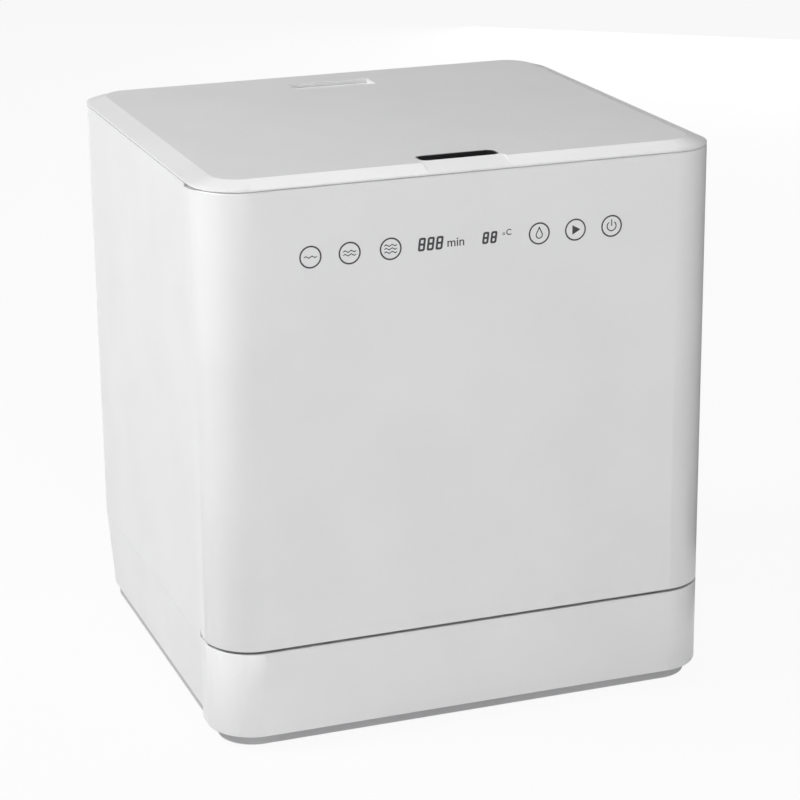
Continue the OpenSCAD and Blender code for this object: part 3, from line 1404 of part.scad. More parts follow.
module cutlery_basket() {
    y1 = basket_y0 + basket_len;
    mid_x = (basket_x0 + basket_x1) / 2;
    cells = 3;
    cell = (basket_len - 2 * mould_t) / cells;
    color(grey) {
        difference() {
            translate([mid_x, (basket_y0 + y1) / 2, basket_z0]) linear_extrude(basket_h)
                rounded_rect(basket_x1 - basket_x0, basket_len, 8);
            for (k = [0 : cells - 1]) {
                c0 = basket_y0 + mould_t + k * cell + (k == 0 ? 0 : mould_t / 2);
                c1 = basket_y0 + mould_t + (k + 1) * cell - (k == cells - 1 ? 0 : mould_t / 2);
                translate([mid_x, (c0 + c1) / 2, basket_z0 + mould_t]) linear_extrude(basket_h)
                    rounded_rect(basket_x1 - basket_x0 - 2 * mould_t, c1 - c0, 5);
            }
            // slots through the long walls and the floor
            for (k = [0 : cells - 1], i = [0 : 2], row = [0 : 2]) {
                y = basket_y0 + mould_t + (k + 0.5) * cell + (i - 1) * 11;
                z = basket_z0 + 10 + row * (basket_h - 26) / 3;
                box([basket_x0 - 1, y - 2.5, z], [basket_x1 + 1, y + 2.5, z + (basket_h - 26) / 3 - 5]);
            }
            for (k = [0 : cells - 1], i = [0 : 3]) {
                y = basket_y0 + mould_t + (k + 0.5) * cell + (i - 1.5) * 9;
                box([basket_x0 + 8, y - 2, basket_z0 - 1], [basket_x1 - 8, y + 2, basket_z0 + mould_t + 1]);
            }
        }
        // carrying handle over the middle
        y = (basket_y0 + y1) / 2;
        translate([mid_x, y, 0]) rotate([90, 0, 90]) translate([0, 0, -2])
            linear_extrude(4) difference() {
                polygon([[-cell / 2 - 1, basket_z0 + basket_h - 1], [-cell / 2 + 6, basket_z0 + basket_h + 26],
                    [cell / 2 - 6, basket_z0 + basket_h + 26], [cell / 2 + 1, basket_z0 + basket_h - 1]]);
                polygon([[-cell / 2 + 3.4, basket_z0 + basket_h - 2], [-cell / 2 + 9, basket_z0 + basket_h + 21],
                    [cell / 2 - 9, basket_z0 + basket_h + 21], [cell / 2 - 3.4, basket_z0 + basket_h - 2]]);
            }
    }
}

shelf_axis_x = -rack_hw - side_out;
shelf_reach = 70;
shelf_y0 = tub_mid_y - 44;
shelf_y1 = tub_mid_y + 52;

// fold-down shelf clipped round the side wire of the rack
module cup_shelf() {
    z1 = shelf_z - 5;
    t = 3;
    x0 = shelf_axis_x + 6;
    first = slope_y + 10 + 1.5 * side_wire_step;
    color(grey) {
        translate([0, 0, z1 - t]) linear_extrude(t) difference() {
            translate([x0 + shelf_reach / 2, (shelf_y0 + shelf_y1) / 2]) rounded_rect(shelf_reach, shelf_y1 - shelf_y0, 5);
            for (i = [0 : 4], j = [0 : 5])
                translate([x0 + 11 + i * 12, shelf_y0 + 13 + j * (shelf_y1 - shelf_y0 - 26) / 5])
                    rounded_rect(8, 10, 2);
        }
        // clips
        for (k = [0 : 2]) {
            y = first + k * side_wire_step;
            if (y > shelf_y0 + 6 && y < shelf_y1 - 6) difference() {
                union() {
                    rod_y(y - 5, y + 5, shelf_axis_x, shelf_z, wire_d / 2 + 2);
                    box([shelf_axis_x, y - 5, shelf_z - 3.4], [x0 + 3, y + 5, shelf_z - 1]);
                    box([x0, y - 5, z1 - 1], [x0 + 3, y + 5, shelf_z - 1]);
                }
                rod_y(y - 6, y + 6, shelf_axis_x, shelf_z, wire_d / 2 + run_gap);
                // mouth of the clip
                box([shelf_axis_x - wire_d / 2 + 0.4, y - 6, shelf_z], [shelf_axis_x + wire_d / 2 - 0.4, y + 6, shelf_z + 8]);
            }
        }
    }
}

// moulded cutlery tray with a slotted floor, combs and side runners
module upper_tray() {
    w = 2 * tray_hw;
    d = tray_y1 - tray_y0;
    mid = (tray_y0 + tray_y1) / 2;
    flange_z = upper_rail_z + 0.3;
    slot_len = (d - 60) / 4 - 8;
    color(grey) difference() {
        union() {
            translate([0, mid, tray_z]) linear_extrude(upper_h) difference() {
                rounded_rect(w, d, 12);
                rounded_rect(w - 2 * mould_t, d - 2 * mould_t, 12 - mould_t);
            }
            translate([0, mid, tray_z]) linear_extrude(mould_t) difference() {
                rounded_rect(w - 2, d - 2, 11);
                for (i = [0 : 11], j = [0 : 4])
                    translate([(i - 5.5) * (w - 50) / 11, (j - 2) * (d - 60) / 4]) rounded_rect(14, slot_len, 3);
            }
            // runners
            for (m = [0, 1]) mirror([m, 0, 0])
                box([tray_hw - 1, tray_y0 + 14, flange_z], [tray_hw + tray_flange, tray_y1 - 14, flange_z + 2.5]);
            // two long dividers and the combs that keep cutlery apart
            for (x = [-w / 6, w / 6])
                box([x - 1, tray_y0 + 1, tray_z + 1], [x + 1, tray_y1 - 1, tray_z + 18]);
            for (s = [-1, 1], k = [0, 1]) {
                x = s * w / 3 - 26 + 52 * k;
                plate_yz(x - 1, x + 1) difference() {
                    translate([tray_y0 + 20, tray_z + 1]) square([d - 40, 16]);
                    for (j = [0 : 8]) translate([tray_y0 + 34 + j * (d - 68) / 8, tray_z + 14]) rounded_rect(12, 14, 4);
                }
            }
            // grip rim along the front
            box([-60, tray_y0 - 1.6, tray_z + upper_h - 4], [60, tray_y0 + 1, tray_z + upper_h]);
        }
        // windows through the walls
        for (m = [0, 1]) mirror([m, 0, 0]) plate_yz(tray_hw - mould_t - 0.5, tray_hw + 0.5) for (j = [0 : 5])
            translate([tray_y0 + 34 + j * (d - 68) / 5, tray_z + upper_h - 13]) rounded_rect(floor((d - 68) / 5) - 10, 10, 3);
        for (y = [tray_y0, tray_y1 - mould_t]) plate_xz(y - 0.5, y + mould_t + 0.5) for (i = [0 : 7])
            translate([(i - 3.5) * (w - 70) / 7, tray_z + upper_h - 15]) rounded_rect(floor((w - 70) / 7) - 10, 10, 3);
    }
}

base_tray();
rubber_feet();
base_front_panel();
base_side_left();
base_side_right();
base_rear_panel();
side_panel_left();
side_panel_right();
rear_panel();
top_cover();
tub();
tub_front_frame();
door_seal();
lower_rails();
upper_rails();
sump();
filter_plate();
filter_cup();
spray_hub();
upper_feed_pipe();
heater_element();
wash_pump();
drain_pump();
drain_hose();
drain_spigot();
inlet_valve();
mains_gland();
power_board();
water_tank();
fill_funnel();
hinge_brackets();
hinge_pins();
latch_cup();
latch_pin();
panel_screws();
door_shell();
door_inner_panel();
door_hinge_arms();
touch_board();
display_module();
dispenser_body();
latch_striker();
liner_screws();
release_lever();
lever_spring();
dispenser_lid();
rinse_cap();
fill_lid();
lower_rack();
rack_cross_wires();
rack_rims();
cutlery_basket();
roller_front_left();
roller_front_right();
roller_rear_left();
roller_rear_right();
cup_shelf();
upper_tray();
lower_spray_arm();
upper_spray_arm();
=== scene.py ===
import math
import bmesh
import bpy
from mathutils import Matrix, Vector


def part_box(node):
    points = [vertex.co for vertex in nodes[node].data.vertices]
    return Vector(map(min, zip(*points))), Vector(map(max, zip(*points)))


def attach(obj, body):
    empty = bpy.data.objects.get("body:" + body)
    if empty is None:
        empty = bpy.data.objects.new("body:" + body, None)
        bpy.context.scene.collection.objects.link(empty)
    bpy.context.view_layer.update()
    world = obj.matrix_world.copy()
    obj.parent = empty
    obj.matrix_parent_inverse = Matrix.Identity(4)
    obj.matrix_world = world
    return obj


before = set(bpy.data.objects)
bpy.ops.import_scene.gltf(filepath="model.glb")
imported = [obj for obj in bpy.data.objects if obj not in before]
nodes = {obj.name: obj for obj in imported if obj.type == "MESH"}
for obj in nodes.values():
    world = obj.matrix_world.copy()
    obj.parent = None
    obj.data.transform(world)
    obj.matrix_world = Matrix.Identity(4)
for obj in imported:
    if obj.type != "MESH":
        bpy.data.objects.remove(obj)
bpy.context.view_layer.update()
scene = bpy.context.scene
scene.view_settings.view_transform = "Standard"


# ---- Studio -------------------------------------------------------------------------------
# The camera stands where the photograph was taken from: left of the machine and a little
# above it, with a long lens. A pale floor, a bright left side and a dimmer right side light it.

CAMERA_AZIMUTH = math.radians(19.867)
CAMERA_ELEVATION = math.radians(18.131)
CAMERA_ROLL = math.radians(-0.638)
CAMERA_DISTANCE = 2.21629
CAMERA_TARGET = Vector((0.01083, 0.0, 0.20761))
CAMERA_REACH = 50.0
SENSOR_MILLIMETRES = 36.0
PICTURE_PIXELS = 800
FOCAL_PIXELS = 2615.21

view_back = Vector((
    -math.sin(CAMERA_AZIMUTH) * math.cos(CAMERA_ELEVATION),
    -math.cos(CAMERA_AZIMUTH) * math.cos(CAMERA_ELEVATION),
    math.sin(CAMERA_ELEVATION),
))
view_right = (-view_back).cross(Vector((0, 0, 1))).normalized()
view_up = view_right.cross(-view_back)
rolled_right = math.cos(CAMERA_ROLL) * view_right + math.sin(CAMERA_ROLL) * view_up
rolled_up = -math.sin(CAMERA_ROLL) * view_right + math.cos(CAMERA_ROLL) * view_up
camera_data = bpy.data.cameras.new("photo_camera")
camera_data.sensor_width = SENSOR_MILLIMETRES
camera_data.lens = SENSOR_MILLIMETRES * (FOCAL_PIXELS / PICTURE_PIXELS)
camera_data.clip_end = CAMERA_REACH
camera = bpy.data.objects.new("photo_camera", camera_data)
turned = Matrix((rolled_right, rolled_up, view_back)).transposed().to_4x4()
camera.matrix_world = Matrix.Translation(CAMERA_TARGET + view_back * CAMERA_DISTANCE) @ turned
scene.collection.objects.link(camera)
scene.camera = camera


def join_sockets(tree, *pairs):
    for source, target in pairs:
        tree.links.new(source, target)


def rays_to_backdrop(tree):
    """1 for the rays that meet the plain backdrop: from the camera, off gloss and through glass."""
    path = tree.nodes.new("ShaderNodeLightPath")
    total = path.outputs["Is Camera Ray"]
    for ray in ("Is Glossy Ray", "Is Transmission Ray"):
        adding = tree.nodes.new("ShaderNodeMath")
        adding.operation = "ADD"
        adding.use_clamp = True
        join_sockets(tree, (total, adding.inputs[0]), (path.outputs[ray], adding.inputs[1]))
        total = adding.outputs[0]
    return total


# strengths of the sky, and where it changes along the X and the Z of a direction
SKY_LEFT = 0.27
SKY_RIGHT = 0.02
SKY_TOP = 0.02
SKY_LEFT_END = -0.7
SKY_RIGHT_END = 0.9
SKY_TOP_START = 0.25
SKY_TOP_END = 0.9

world = bpy.data.worlds.new("studio")
scene.world = world
world.use_nodes = True
tree = world.node_tree
tree.nodes.clear()
sky_out = tree.nodes.new("ShaderNodeOutputWorld")
sky_mix = tree.nodes.new("ShaderNodeMixShader")
sky_light = tree.nodes.new("ShaderNodeBackground")
sky_white = tree.nodes.new("ShaderNodeBackground")
sky_white.inputs["Color"].default_value = (1, 1, 1, 1)
sky_white.inputs["Strength"].default_value = 1.0
sky_place = tree.nodes.new("ShaderNodeTexCoord")
sky_axes = tree.nodes.new("ShaderNodeSeparateXYZ")
sky_side = tree.nodes.new("ShaderNodeMapRange")
sky_side.inputs["From Min"].default_value = SKY_LEFT_END
sky_side.inputs["From Max"].default_value = SKY_RIGHT_END
sky_side.inputs["To Min"].default_value = SKY_LEFT
sky_side.inputs["To Max"].default_value = SKY_RIGHT
sky_high = tree.nodes.new("ShaderNodeMapRange")
sky_high.inputs["From Min"].default_value = SKY_TOP_START
sky_high.inputs["From Max"].default_value = SKY_TOP_END
sky_blend = tree.nodes.new("ShaderNodeMix")
sky_blend.data_type = "FLOAT"
sky_blend.inputs["B"].default_value = SKY_TOP
join_sockets(
    tree,
    (sky_place.outputs["Generated"], sky_axes.inputs[0]),
    (sky_axes.outputs["X"], sky_side.inputs["Value"]),
    (sky_axes.outputs["Z"], sky_high.inputs["Value"]),
    (sky_high.outputs[0], sky_blend.inputs["Factor"]),
    (sky_side.outputs[0], sky_blend.inputs["A"]),
    (sky_blend.outputs[0], sky_light.inputs["Strength"]),
    (rays_to_backdrop(tree), sky_mix.inputs[0]),
    (sky_light.outputs[0], sky_mix.inputs[1]),
    (sky_white.outputs[0], sky_mix.inputs[2]),
    (sky_mix.outputs[0], sky_out.inputs[0]),
)

FLOOR_HALF = 30.0
FLOOR_SEEN = 0.93
FLOOR_GREY = 0.7

floor_mesh = bpy.data.meshes.new("studio_floor")
floor_build = bmesh.new()
bmesh.ops.create_grid(floor_build, x_segments=4, y_segments=4, size=FLOOR_HALF)
floor_build.to_mesh(floor_mesh)
floor_build.free()
floor = bpy.data.objects.new("studio_floor", floor_mesh)
scene.collection.objects.link(floor)
floor_paint = bpy.data.materials.new("studio_floor")
floor_paint.use_nodes = True
tree = floor_paint.node_tree
tree.nodes.clear()
floor_out = tree.nodes.new("ShaderNodeOutputMaterial")
floor_add = tree.nodes.new("ShaderNodeMixShader")
floor_matt = tree.nodes.new("ShaderNodeBsdfDiffuse")
floor_matt.inputs["Color"].default_value = (FLOOR_GREY, FLOOR_GREY, FLOOR_GREY, 1)
floor_glow = tree.nodes.new("ShaderNodeEmission")
floor_part = tree.nodes.new("ShaderNodeMath")
floor_part.operation = "MULTIPLY"
floor_part.inputs[1].default_value = FLOOR_SEEN
join_sockets(
    tree,
    (rays_to_backdrop(tree), floor_part.inputs[0]),
    (floor_part.outputs[0], floor_add.inputs[0]),
    (floor_matt.outputs[0], floor_add.inputs[1]),
    (floor_glow.outputs[0], floor_add.inputs[2]),
    (floor_add.outputs[0], floor_out.inputs[0]),
)
floor_mesh.materials.append(floor_paint)


def soft_box(name, place, aim, size, power, in_gloss=True):
    """A lamp with its place, the point it aims at, its width and height and its watts."""
    lamp = bpy.data.lights.new(name, "AREA")
    lamp.shape = "RECTANGLE"
    lamp.size, lamp.size_y = size
    lamp.energy = power
    holder = bpy.data.objects.new(name, lamp)
    direction = Vector(aim) - Vector(place)
    holder.rotation_euler = direction.to_track_quat("-Z", "Y").to_euler()
    holder.location = place
    holder.visible_glossy = in_gloss
    scene.collection.objects.link(holder)


soft_box("front_low_box", (-0.6, -3.0, 0.8), (0, 0, 0.22), (1.8, 1.4), 25.3)
soft_box("front_high_box", (-0.4, -2.0, 2.0), (0, 0, 0.35), (1.2, 1.0), 14.5)
soft_box("left_high_box", (-1.9, 0.2, 1.9), (0, 0, 0.4), (1.0, 1.0), 43.6)
soft_box("corner_high_box", (-1.6, -1.3, 1.8), (0, 0, 0.4), (1.0, 1.0), 4.4)
soft_box("right_box", (2.4, -1.6, 1.0), (0, 0, 0.22), (1.4, 1.4), 10.0)
soft_box("back_high_box", (0.74, 1.12, 2.19), (0, -0.1, 0.45), (1.0, 1.0), 5.2)
soft_box("rear_box", (1.7, 2.3, 0.45), (0, 0, 0.22), (1.4, 0.9), 24.0, in_gloss=False)


def grey_card(name, grey, start, end, foot, top):
    """A studio card that only gloss sees. It draws edges on the white without taking light away."""
    card_build = bmesh.new()
    corners = ((*start, foot), (*end, foot), (*end, top), (*start, top))
    card_build.faces.new([card_build.verts.new(corner) for corner in corners])
    card_mesh = bpy.data.meshes.new(name)
    card_build.to_mesh(card_mesh)
    card_build.free()
    card_paint = bpy.data.materials.new(name)
    card_paint.use_nodes = True
    tree = card_paint.node_tree
    tree.nodes.clear()
    card_out = tree.nodes.new("ShaderNodeOutputMaterial")
    card_glow = tree.nodes.new("ShaderNodeEmission")
    card_glow.inputs["Color"].default_value = (grey, grey, grey, 1)
    tree.links.new(card_glow.outputs[0], card_out.inputs[0])
    card_mesh.materials.append(card_paint)
    card = bpy.data.objects.new(name, card_mesh)
    scene.collection.objects.link(card)
    card.visible_camera = False
    card.visible_diffuse = False
    card.visible_shadow = False
    card.visible_transmission = False


NEAR_CARD_GREY = 0.16
NEAR_CARD_X = 0.37
NEAR_CARD_FRONT = -0.45
NEAR_CARD_BACK = 0.75
NEAR_CARD_TOP = 0.44
grey_card("right_card", NEAR_CARD_GREY, (NEAR_CARD_X, NEAR_CARD_FRONT), (NEAR_CARD_X, NEAR_CARD_BACK),
          0.0, NEAR_CARD_TOP)

FAR_CARD_GREY = 0.30
FAR_CARD_REACH = 1.7
FAR_CARD_FOOT = 0.46
FAR_CARD_TOP = 1.6
FAR_CARD_SIDES = {"front_card": (0, -1), "left_card": (-1, 0), "back_card": (0, 1), "far_right_card": (1, 0)}
for card_name, (x, y) in FAR_CARD_SIDES.items():
    card_start = Vector((x - y, y - x)) * FAR_CARD_REACH
    card_end = Vector((x + y, y + x)) * FAR_CARD_REACH
    grey_card(card_name, FAR_CARD_GREY, card_start, card_end, FAR_CARD_FOOT, FAR_CARD_TOP)


# ---- Base tray and feet -------------------------------------------------------------------
# The tray is one polypropylene moulding that catches leaks and carries the tub, the tank and
# the hinges. Only its lower edge shows. Four rubber feet snap into its floor.


def start_material(name):
    material = bpy.data.materials.new(name)
    material.use_nodes = True
    tree = material.node_tree
    tree.nodes.clear()
    out = tree.nodes.new("ShaderNodeOutputMaterial")
    skin = tree.nodes.new("ShaderNodeBsdfPrincipled")
    tree.links.new(skin.outputs[0], out.inputs[0])
    place = tree.nodes.new("ShaderNodeTexCoord")
    return material, tree, skin, place.outputs["Object"]


def speckle(tree, place, scale, detail=3.0, stretch=None):
    """Noise on the piece's own places, finer along the axes that stretch makes larger."""
    if stretch:
        mapping = tree.nodes.new("ShaderNodeMapping")
        mapping.inputs["Scale"].default_value = stretch
        tree.links.new(place, mapping.inputs["Vector"])
        place = mapping.outputs[0]
    noise = tree.nodes.new("ShaderNodeTexNoise")
    noise.inputs["Scale"].default_value = scale
    noise.inputs["Detail"].default_value = detail
    tree.links.new(place, noise.inputs["Vector"])
    return noise.outputs["Fac"]


# the part of a noise's range that is used, for a roughness and for two tones
NOISE_LOW = 0.3
NOISE_HIGH = 0.7
TONE_LOW = 0.35
TONE_HIGH = 0.65


def spread(tree, value, low, high):
    ranged = tree.nodes.new("ShaderNodeMapRange")
    ranged.inputs["From Min"].default_value = NOISE_LOW
    ranged.inputs["From Max"].default_value = NOISE_HIGH
    ranged.inputs["To Min"].default_value = low
    ranged.inputs["To Max"].default_value = high
    tree.links.new(value, ranged.inputs["Value"])
    return ranged.outputs[0]


def two_tone(tree, value, first, second):
    ramp = tree.nodes.new("ShaderNodeValToRGB")
    ramp.color_ramp.elements[0].position = TONE_LOW
    ramp.color_ramp.elements[1].position = TONE_HIGH
    ramp.color_ramp.elements[0].color = (*first, 1)
    ramp.color_ramp.elements[1].color = (*second, 1)
    tree.links.new(value, ramp.inputs[0])
    return ramp.outputs[0]


def darkened(colour, part):
    return tuple(channel * part for channel in colour)


GRAIN_STRENGTH = 0.5


def raise_grain(tree, skin, value, depth):
    bump = tree.nodes.new("ShaderNodeBump")
    bump.inputs["Strength"].default_value = GRAIN_STRENGTH
    bump.inputs["Distance"].default_value = depth
    tree.links.new(value, bump.inputs["Height"])
    tree.links.new(bump.outputs[0], skin.inputs["Normal"])


RESIN_SHADE = 0.97
RESIN_CLOUD = 14.0
RESIN_ROUGH_VARIES = 0.05


def moulded(name, colour, rough, grain=1400.0, depth=0.00004, gloss=0.5):
    """Injection-moulded plastic: spark-eroded grain, and resin that varies a little in tone."""
    material, tree, skin, place = start_material(name)
    cloud = speckle(tree, place, RESIN_CLOUD)
    fine = speckle(tree, place, grain, 2.0)
    tone = two_tone(tree, cloud, darkened(colour, RESIN_SHADE), colour)
    roughness = spread(tree, fine, rough - RESIN_ROUGH_VARIES, rough + RESIN_ROUGH_VARIES)
    join_sockets(tree, (tone, skin.inputs["Base Color"]), (roughness, skin.inputs["Roughness"]))
    skin.inputs["Specular IOR Level"].default_value = gloss
    raise_grain(tree, skin, fine, depth)
    return material


def dress(material, *names):
    for name in names:
        mesh = nodes[name].data
        mesh.materials.clear()
        mesh.materials.append(material)


tray_plastic = moulded("tray_plastic", (0.50, 0.50, 0.51), rough=0.55)
dress(tray_plastic, "base_tray")
foot_rubber = moulded("foot_rubber", (0.02, 0.02, 0.02), rough=0.8, grain=900.0, depth=0.00008, gloss=0.3)
dress(foot_rubber, "rubber_feet")


# ---- Outer panels -------------------------------------------------------------------------
# The base panels, side panels, rear panel and their screws. The mouldings and the coated
# panels are nearly the same white and differ a little in gloss.

WHITE = (0.80, 0.80, 0.805)
PANEL_WHITE = (0.79, 0.79, 0.795)
EDGE_WIDTH = 0.0007
EDGE_SEGMENTS = 2
EDGE_ANGLE = math.radians(40)
WELD_DISTANCE = 0.000002


def soften(*names):
    """Rounds the sharp moulded or pressed edges of a CAD node a little."""
    for name in names:
        weld = nodes[name].modifiers.new("weld", "WELD")
        weld.merge_threshold = WELD_DISTANCE
        edge = nodes[name].modifiers.new("edge", "BEVEL")
        edge.width = EDGE_WIDTH
        edge.segments = EDGE_SEGMENTS
        edge.limit_method = "ANGLE"
        edge.angle_limit = EDGE_ANGLE
        edge.harden_normals = True


white_plastic = moulded("white_plastic", WHITE, rough=0.31, grain=2600.0, depth=0.000012)
panel_coat = moulded("panel_coat", PANEL_WHITE, rough=0.4, grain=1700.0, depth=0.00002)
dress(white_plastic, "base_front_panel")
dress(panel_coat, "base_side_left", "base_side_right", "base_rear_panel",
      "side_panel_left", "side_panel_right", "rear_panel")
soften("base_front_panel", "base_side_left", "base_side_right", "base_rear_panel",
       "side_panel_left", "side_panel_right")

STEEL_SHADE = 0.9
STEEL_CLOUD = 9.0
STEEL_ROUGH_VARIES = 0.08
SCRATCH_DEPTH = 0.00002


def brushed(name, colour, rough, stretch):
    """Rolled or brushed steel: long fine scratches along one direction."""
    material, tree, skin, place = start_material(name)
    lines = speckle(tree, place, 1.0, 4.0, stretch)
    cloud = speckle(tree, place, STEEL_CLOUD)
    tone = two_tone(tree, cloud, darkened(colour, STEEL_SHADE), colour)
    roughness = spread(tree, lines, rough - STEEL_ROUGH_VARIES, rough + STEEL_ROUGH_VARIES)
    join_sockets(tree, (tone, skin.inputs["Base Color"]), (roughness, skin.inputs["Roughness"]))
    skin.inputs["Metallic"].default_value = 1.0
    skin.inputs["Anisotropic"].default_value = 0.35
    raise_grain(tree, skin, lines, SCRATCH_DEPTH)
    return material


screw_steel = brushed("screw_steel", (0.62, 0.62, 0.63), rough=0.3, stretch=(900, 900, 900))
dress(screw_steel, "panel_screws")


# ---- Top cover ----------------------------------------------------------------------------
# One glossy white moulding with a sloped band round its edge. It has the finger slot at the
# front and the recess of the fill port at the back.

dress(white_plastic, "top_cover")
soften("top_cover")


# ---- Door ---------------------------------------------------------------------------------
# The door's outer shell wraps round both front corners. Its keys are printed rings over touch
# sensors; between them a display shines through the white face.

dress(white_plastic, "door_shell")
soften("door_shell")

DOOR_FACE_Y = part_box("door_shell")[0][1]
MARK_PROUD = 0.00003
MARK_Y = DOOR_FACE_Y - MARK_PROUD
MARK_Z = 0.3954

print_ink = moulded("print_ink", (0.035, 0.035, 0.038), rough=0.5, grain=2600.0, depth=0.000004)


def print_on_door(name, mesh):
    """Gives a flat mark its ink and lets it ride on the door."""
    mesh.materials.clear()
    mesh.materials.append(print_ink)
    piece = bpy.data.objects.new(name, mesh)
    scene.collection.objects.link(piece)
    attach(piece, "door")


def printed_mark(name, build):
    mesh = bpy.data.meshes.new(name)
    build.to_mesh(mesh)
    build.free()
    print_on_door(name, mesh)


def flat_outline(build, points):
    build.faces.new([build.verts.new((x, MARK_Y, z)) for x, z in points])


RING_STEPS = 64


def flat_ring(build, x, z, outer, line, start=0.0, end=2 * math.pi, steps=RING_STEPS):
    """A ring or an open arc on the door's face, with its outer radius and the width of its line."""
    for i in range(steps):
        a = start + (end - start) * i / steps
        b = start + (end - start) * (i + 1) / steps
        flat_outline(build, [
            (x + math.cos(a) * outer, z + math.sin(a) * outer),
            (x + math.cos(b) * outer, z + math.sin(b) * outer),
            (x + math.cos(b) * (outer - line), z + math.sin(b) * (outer - line)),
            (x + math.cos(a) * (outer - line), z + math.sin(a) * (outer - line)),
        ])


def flat_bar(build, x0, z0, x1, z1, width):
    along = Vector((x1 - x0, z1 - z0)).normalized() * width / 2
    across = Vector((-along.y, along.x))
    a = Vector((x0, z0))
    b = Vector((x1, z1))
    flat_outline(build, [a - along + across, b + along + across, b + along - across, a - along - across])


WASH_KEYS = (-0.1290, -0.0982, -0.0657)
DROP_KEY = 0.0550
START_KEY = 0.0851
ON_KEY = 0.1155
RING_OUTER = 0.00875
RING_LINE = 0.00125

rings = bmesh.new()
for key_x in (*WASH_KEYS, DROP_KEY, START_KEY, ON_KEY):
    flat_ring(rings, key_x, MARK_Z, RING_OUTER, RING_LINE)
printed_mark("key_rings", rings)

# each ring holds a plain sign: one, two and three waves, a drop, a start triangle, an on sign
SIGN_LINE = 0.0009
SIGN_TOP = 0.0048
WAVE_LINE = SIGN_LINE * 0.8
WAVE_PITCH = 0.0027
WAVE_HALF = 0.0048
WAVE_RISE = 0.0007
WAVE_TURN = 6.28
WAVE_BARS = 8
DROP_RADIUS = 0.0030
DROP_SUNK = 0.0012
DROP_HALF = 0.0023
START_BACK = 0.0026
START_TIP = 0.0042
START_HALF = 0.0038
ON_RADIUS = 0.0042
ON_FOOT = 0.0006


def wave_point(x, z, along):
    """A point of a wave, from -1 at its left end to 1 at its right end."""
    return x + along * WAVE_HALF, z + WAVE_RISE * math.sin(along * WAVE_TURN)


signs = bmesh.new()
for count, key_x in enumerate(WASH_KEYS, 1):
    for row in range(count):
        wave_z = MARK_Z + WAVE_PITCH * (row - (count - 1) / 2)
        for i in range(WAVE_BARS):
            bar_start = wave_point(key_x, wave_z, -1 + i / (WAVE_BARS / 2))
            bar_end = wave_point(key_x, wave_z, -1 + (i + 1) / (WAVE_BARS / 2))
            flat_bar(signs, *bar_start, *bar_end, WAVE_LINE)
flat_ring(signs, DROP_KEY, MARK_Z - DROP_SUNK, DROP_RADIUS, SIGN_LINE,
          start=-math.pi * 1.16, end=math.pi * 0.16, steps=24)
for side in (-DROP_HALF, DROP_HALF):
    flat_bar(signs, DROP_KEY + side, MARK_Z, DROP_KEY, MARK_Z + SIGN_TOP, SIGN_LINE)
flat_outline(signs, [
    (START_KEY - START_BACK, MARK_Z - START_HALF),
    (START_KEY + START_TIP, MARK_Z),
    (START_KEY - START_BACK, MARK_Z + START_HALF),
])
flat_ring(signs, ON_KEY, MARK_Z, ON_RADIUS, SIGN_LINE,
          start=math.radians(125), end=math.radians(415), steps=32)
flat_bar(signs, ON_KEY, MARK_Z + ON_FOOT, ON_KEY, MARK_Z + SIGN_TOP, SIGN_LINE)
printed_mark("key_signs", signs)

DIGIT_SLANT = 0.13
DIGIT_LINE = 0.0017
DIGIT_CUT = DIGIT_LINE * 0.6


def digit_eight(build, left, bottom, width, height):
    """A slanted eight of seven bars that meet, with its four corners cut."""
    line = DIGIT_LINE
    cut = DIGIT_CUT
    middle = (height - line) / 2

    def put(points):
        flat_outline(build, [(left + x + DIGIT_SLANT * z, bottom + z) for x, z in points])

    put([(cut, 0), (width - cut, 0), (width, cut), (width, line), (0, line), (0, cut)])
    put([(0, middle), (width, middle), (width, middle + line), (0, middle + line)])
    put([(0, height - line), (width, height - line), (width, height - cut),
         (width - cut, height), (cut, height), (0, height - cut)])
    for x in (0, width - line):
        for low, high in ((line, middle), (middle + line, height - line)):
            put([(x, low), (x + line, low), (x + line, high), (x, high)])


def digit_row(build, count, left, bottom, width, height, pitch):
    for i in range(count):
        digit_eight(build, left + pitch * i, bottom, width, height)


digits = bmesh.new()
digit_row(digits, 3, left=-0.0442, bottom=0.3910, width=0.0056, height=0.0104, pitch=0.0071)
digit_row(digits, 2, left=0.0078, bottom=0.3915, width=0.0051, height=0.0094, pitch=0.0066)
flat_ring(digits, x=0.0257, z=0.3981, outer=0.0011, line=0.0005, steps=24)
printed_mark("display_digits", digits)

LETTER_BOLD = 0.0001


def printed_word(name, text, left, bottom, height):
    curve = bpy.data.curves.new(name, "FONT")
    curve.body = text
    curve.size = height
    curve.fill_mode = "FRONT"
    curve.offset = LETTER_BOLD
    holder = bpy.data.objects.new(name, curve)
    scene.collection.objects.link(holder)
    bpy.context.view_layer.update()
    mesh = bpy.data.meshes.new_from_object(holder)
    bpy.data.objects.remove(holder)
    mesh.name = name
    mesh.transform(Matrix.Translation((left, MARK_Y, bottom)) @ Matrix.Rotation(math.pi / 2, 4, "X"))
    print_on_door(name, mesh)


printed_word("minutes_mark", "min", left=-0.0207, bottom=0.3924, height=0.0098)
printed_word("degrees_mark", "C", left=0.0275, bottom=0.3968, height=0.0066)


# ---- Door's inner side --------------------------------------------------------------------
# The inner panel is pressed from stainless sheet and screwed to the shell. Behind it are the
# touch board and the display. Spring steel arms carry the door on the hinge plates of the base.

stainless = brushed("stainless", (0.60, 0.61, 0.62), rough=0.24, stretch=(60, 60, 2400))
spring_steel = brushed("spring_steel", (0.5, 0.5, 0.51), rough=0.3, stretch=(1500, 200, 1500))
dress(stainless, "door_inner_panel")
dress(screw_steel, "liner_screws")
dress(spring_steel, "hinge_brackets", "hinge_pins", "door_hinge_arms")


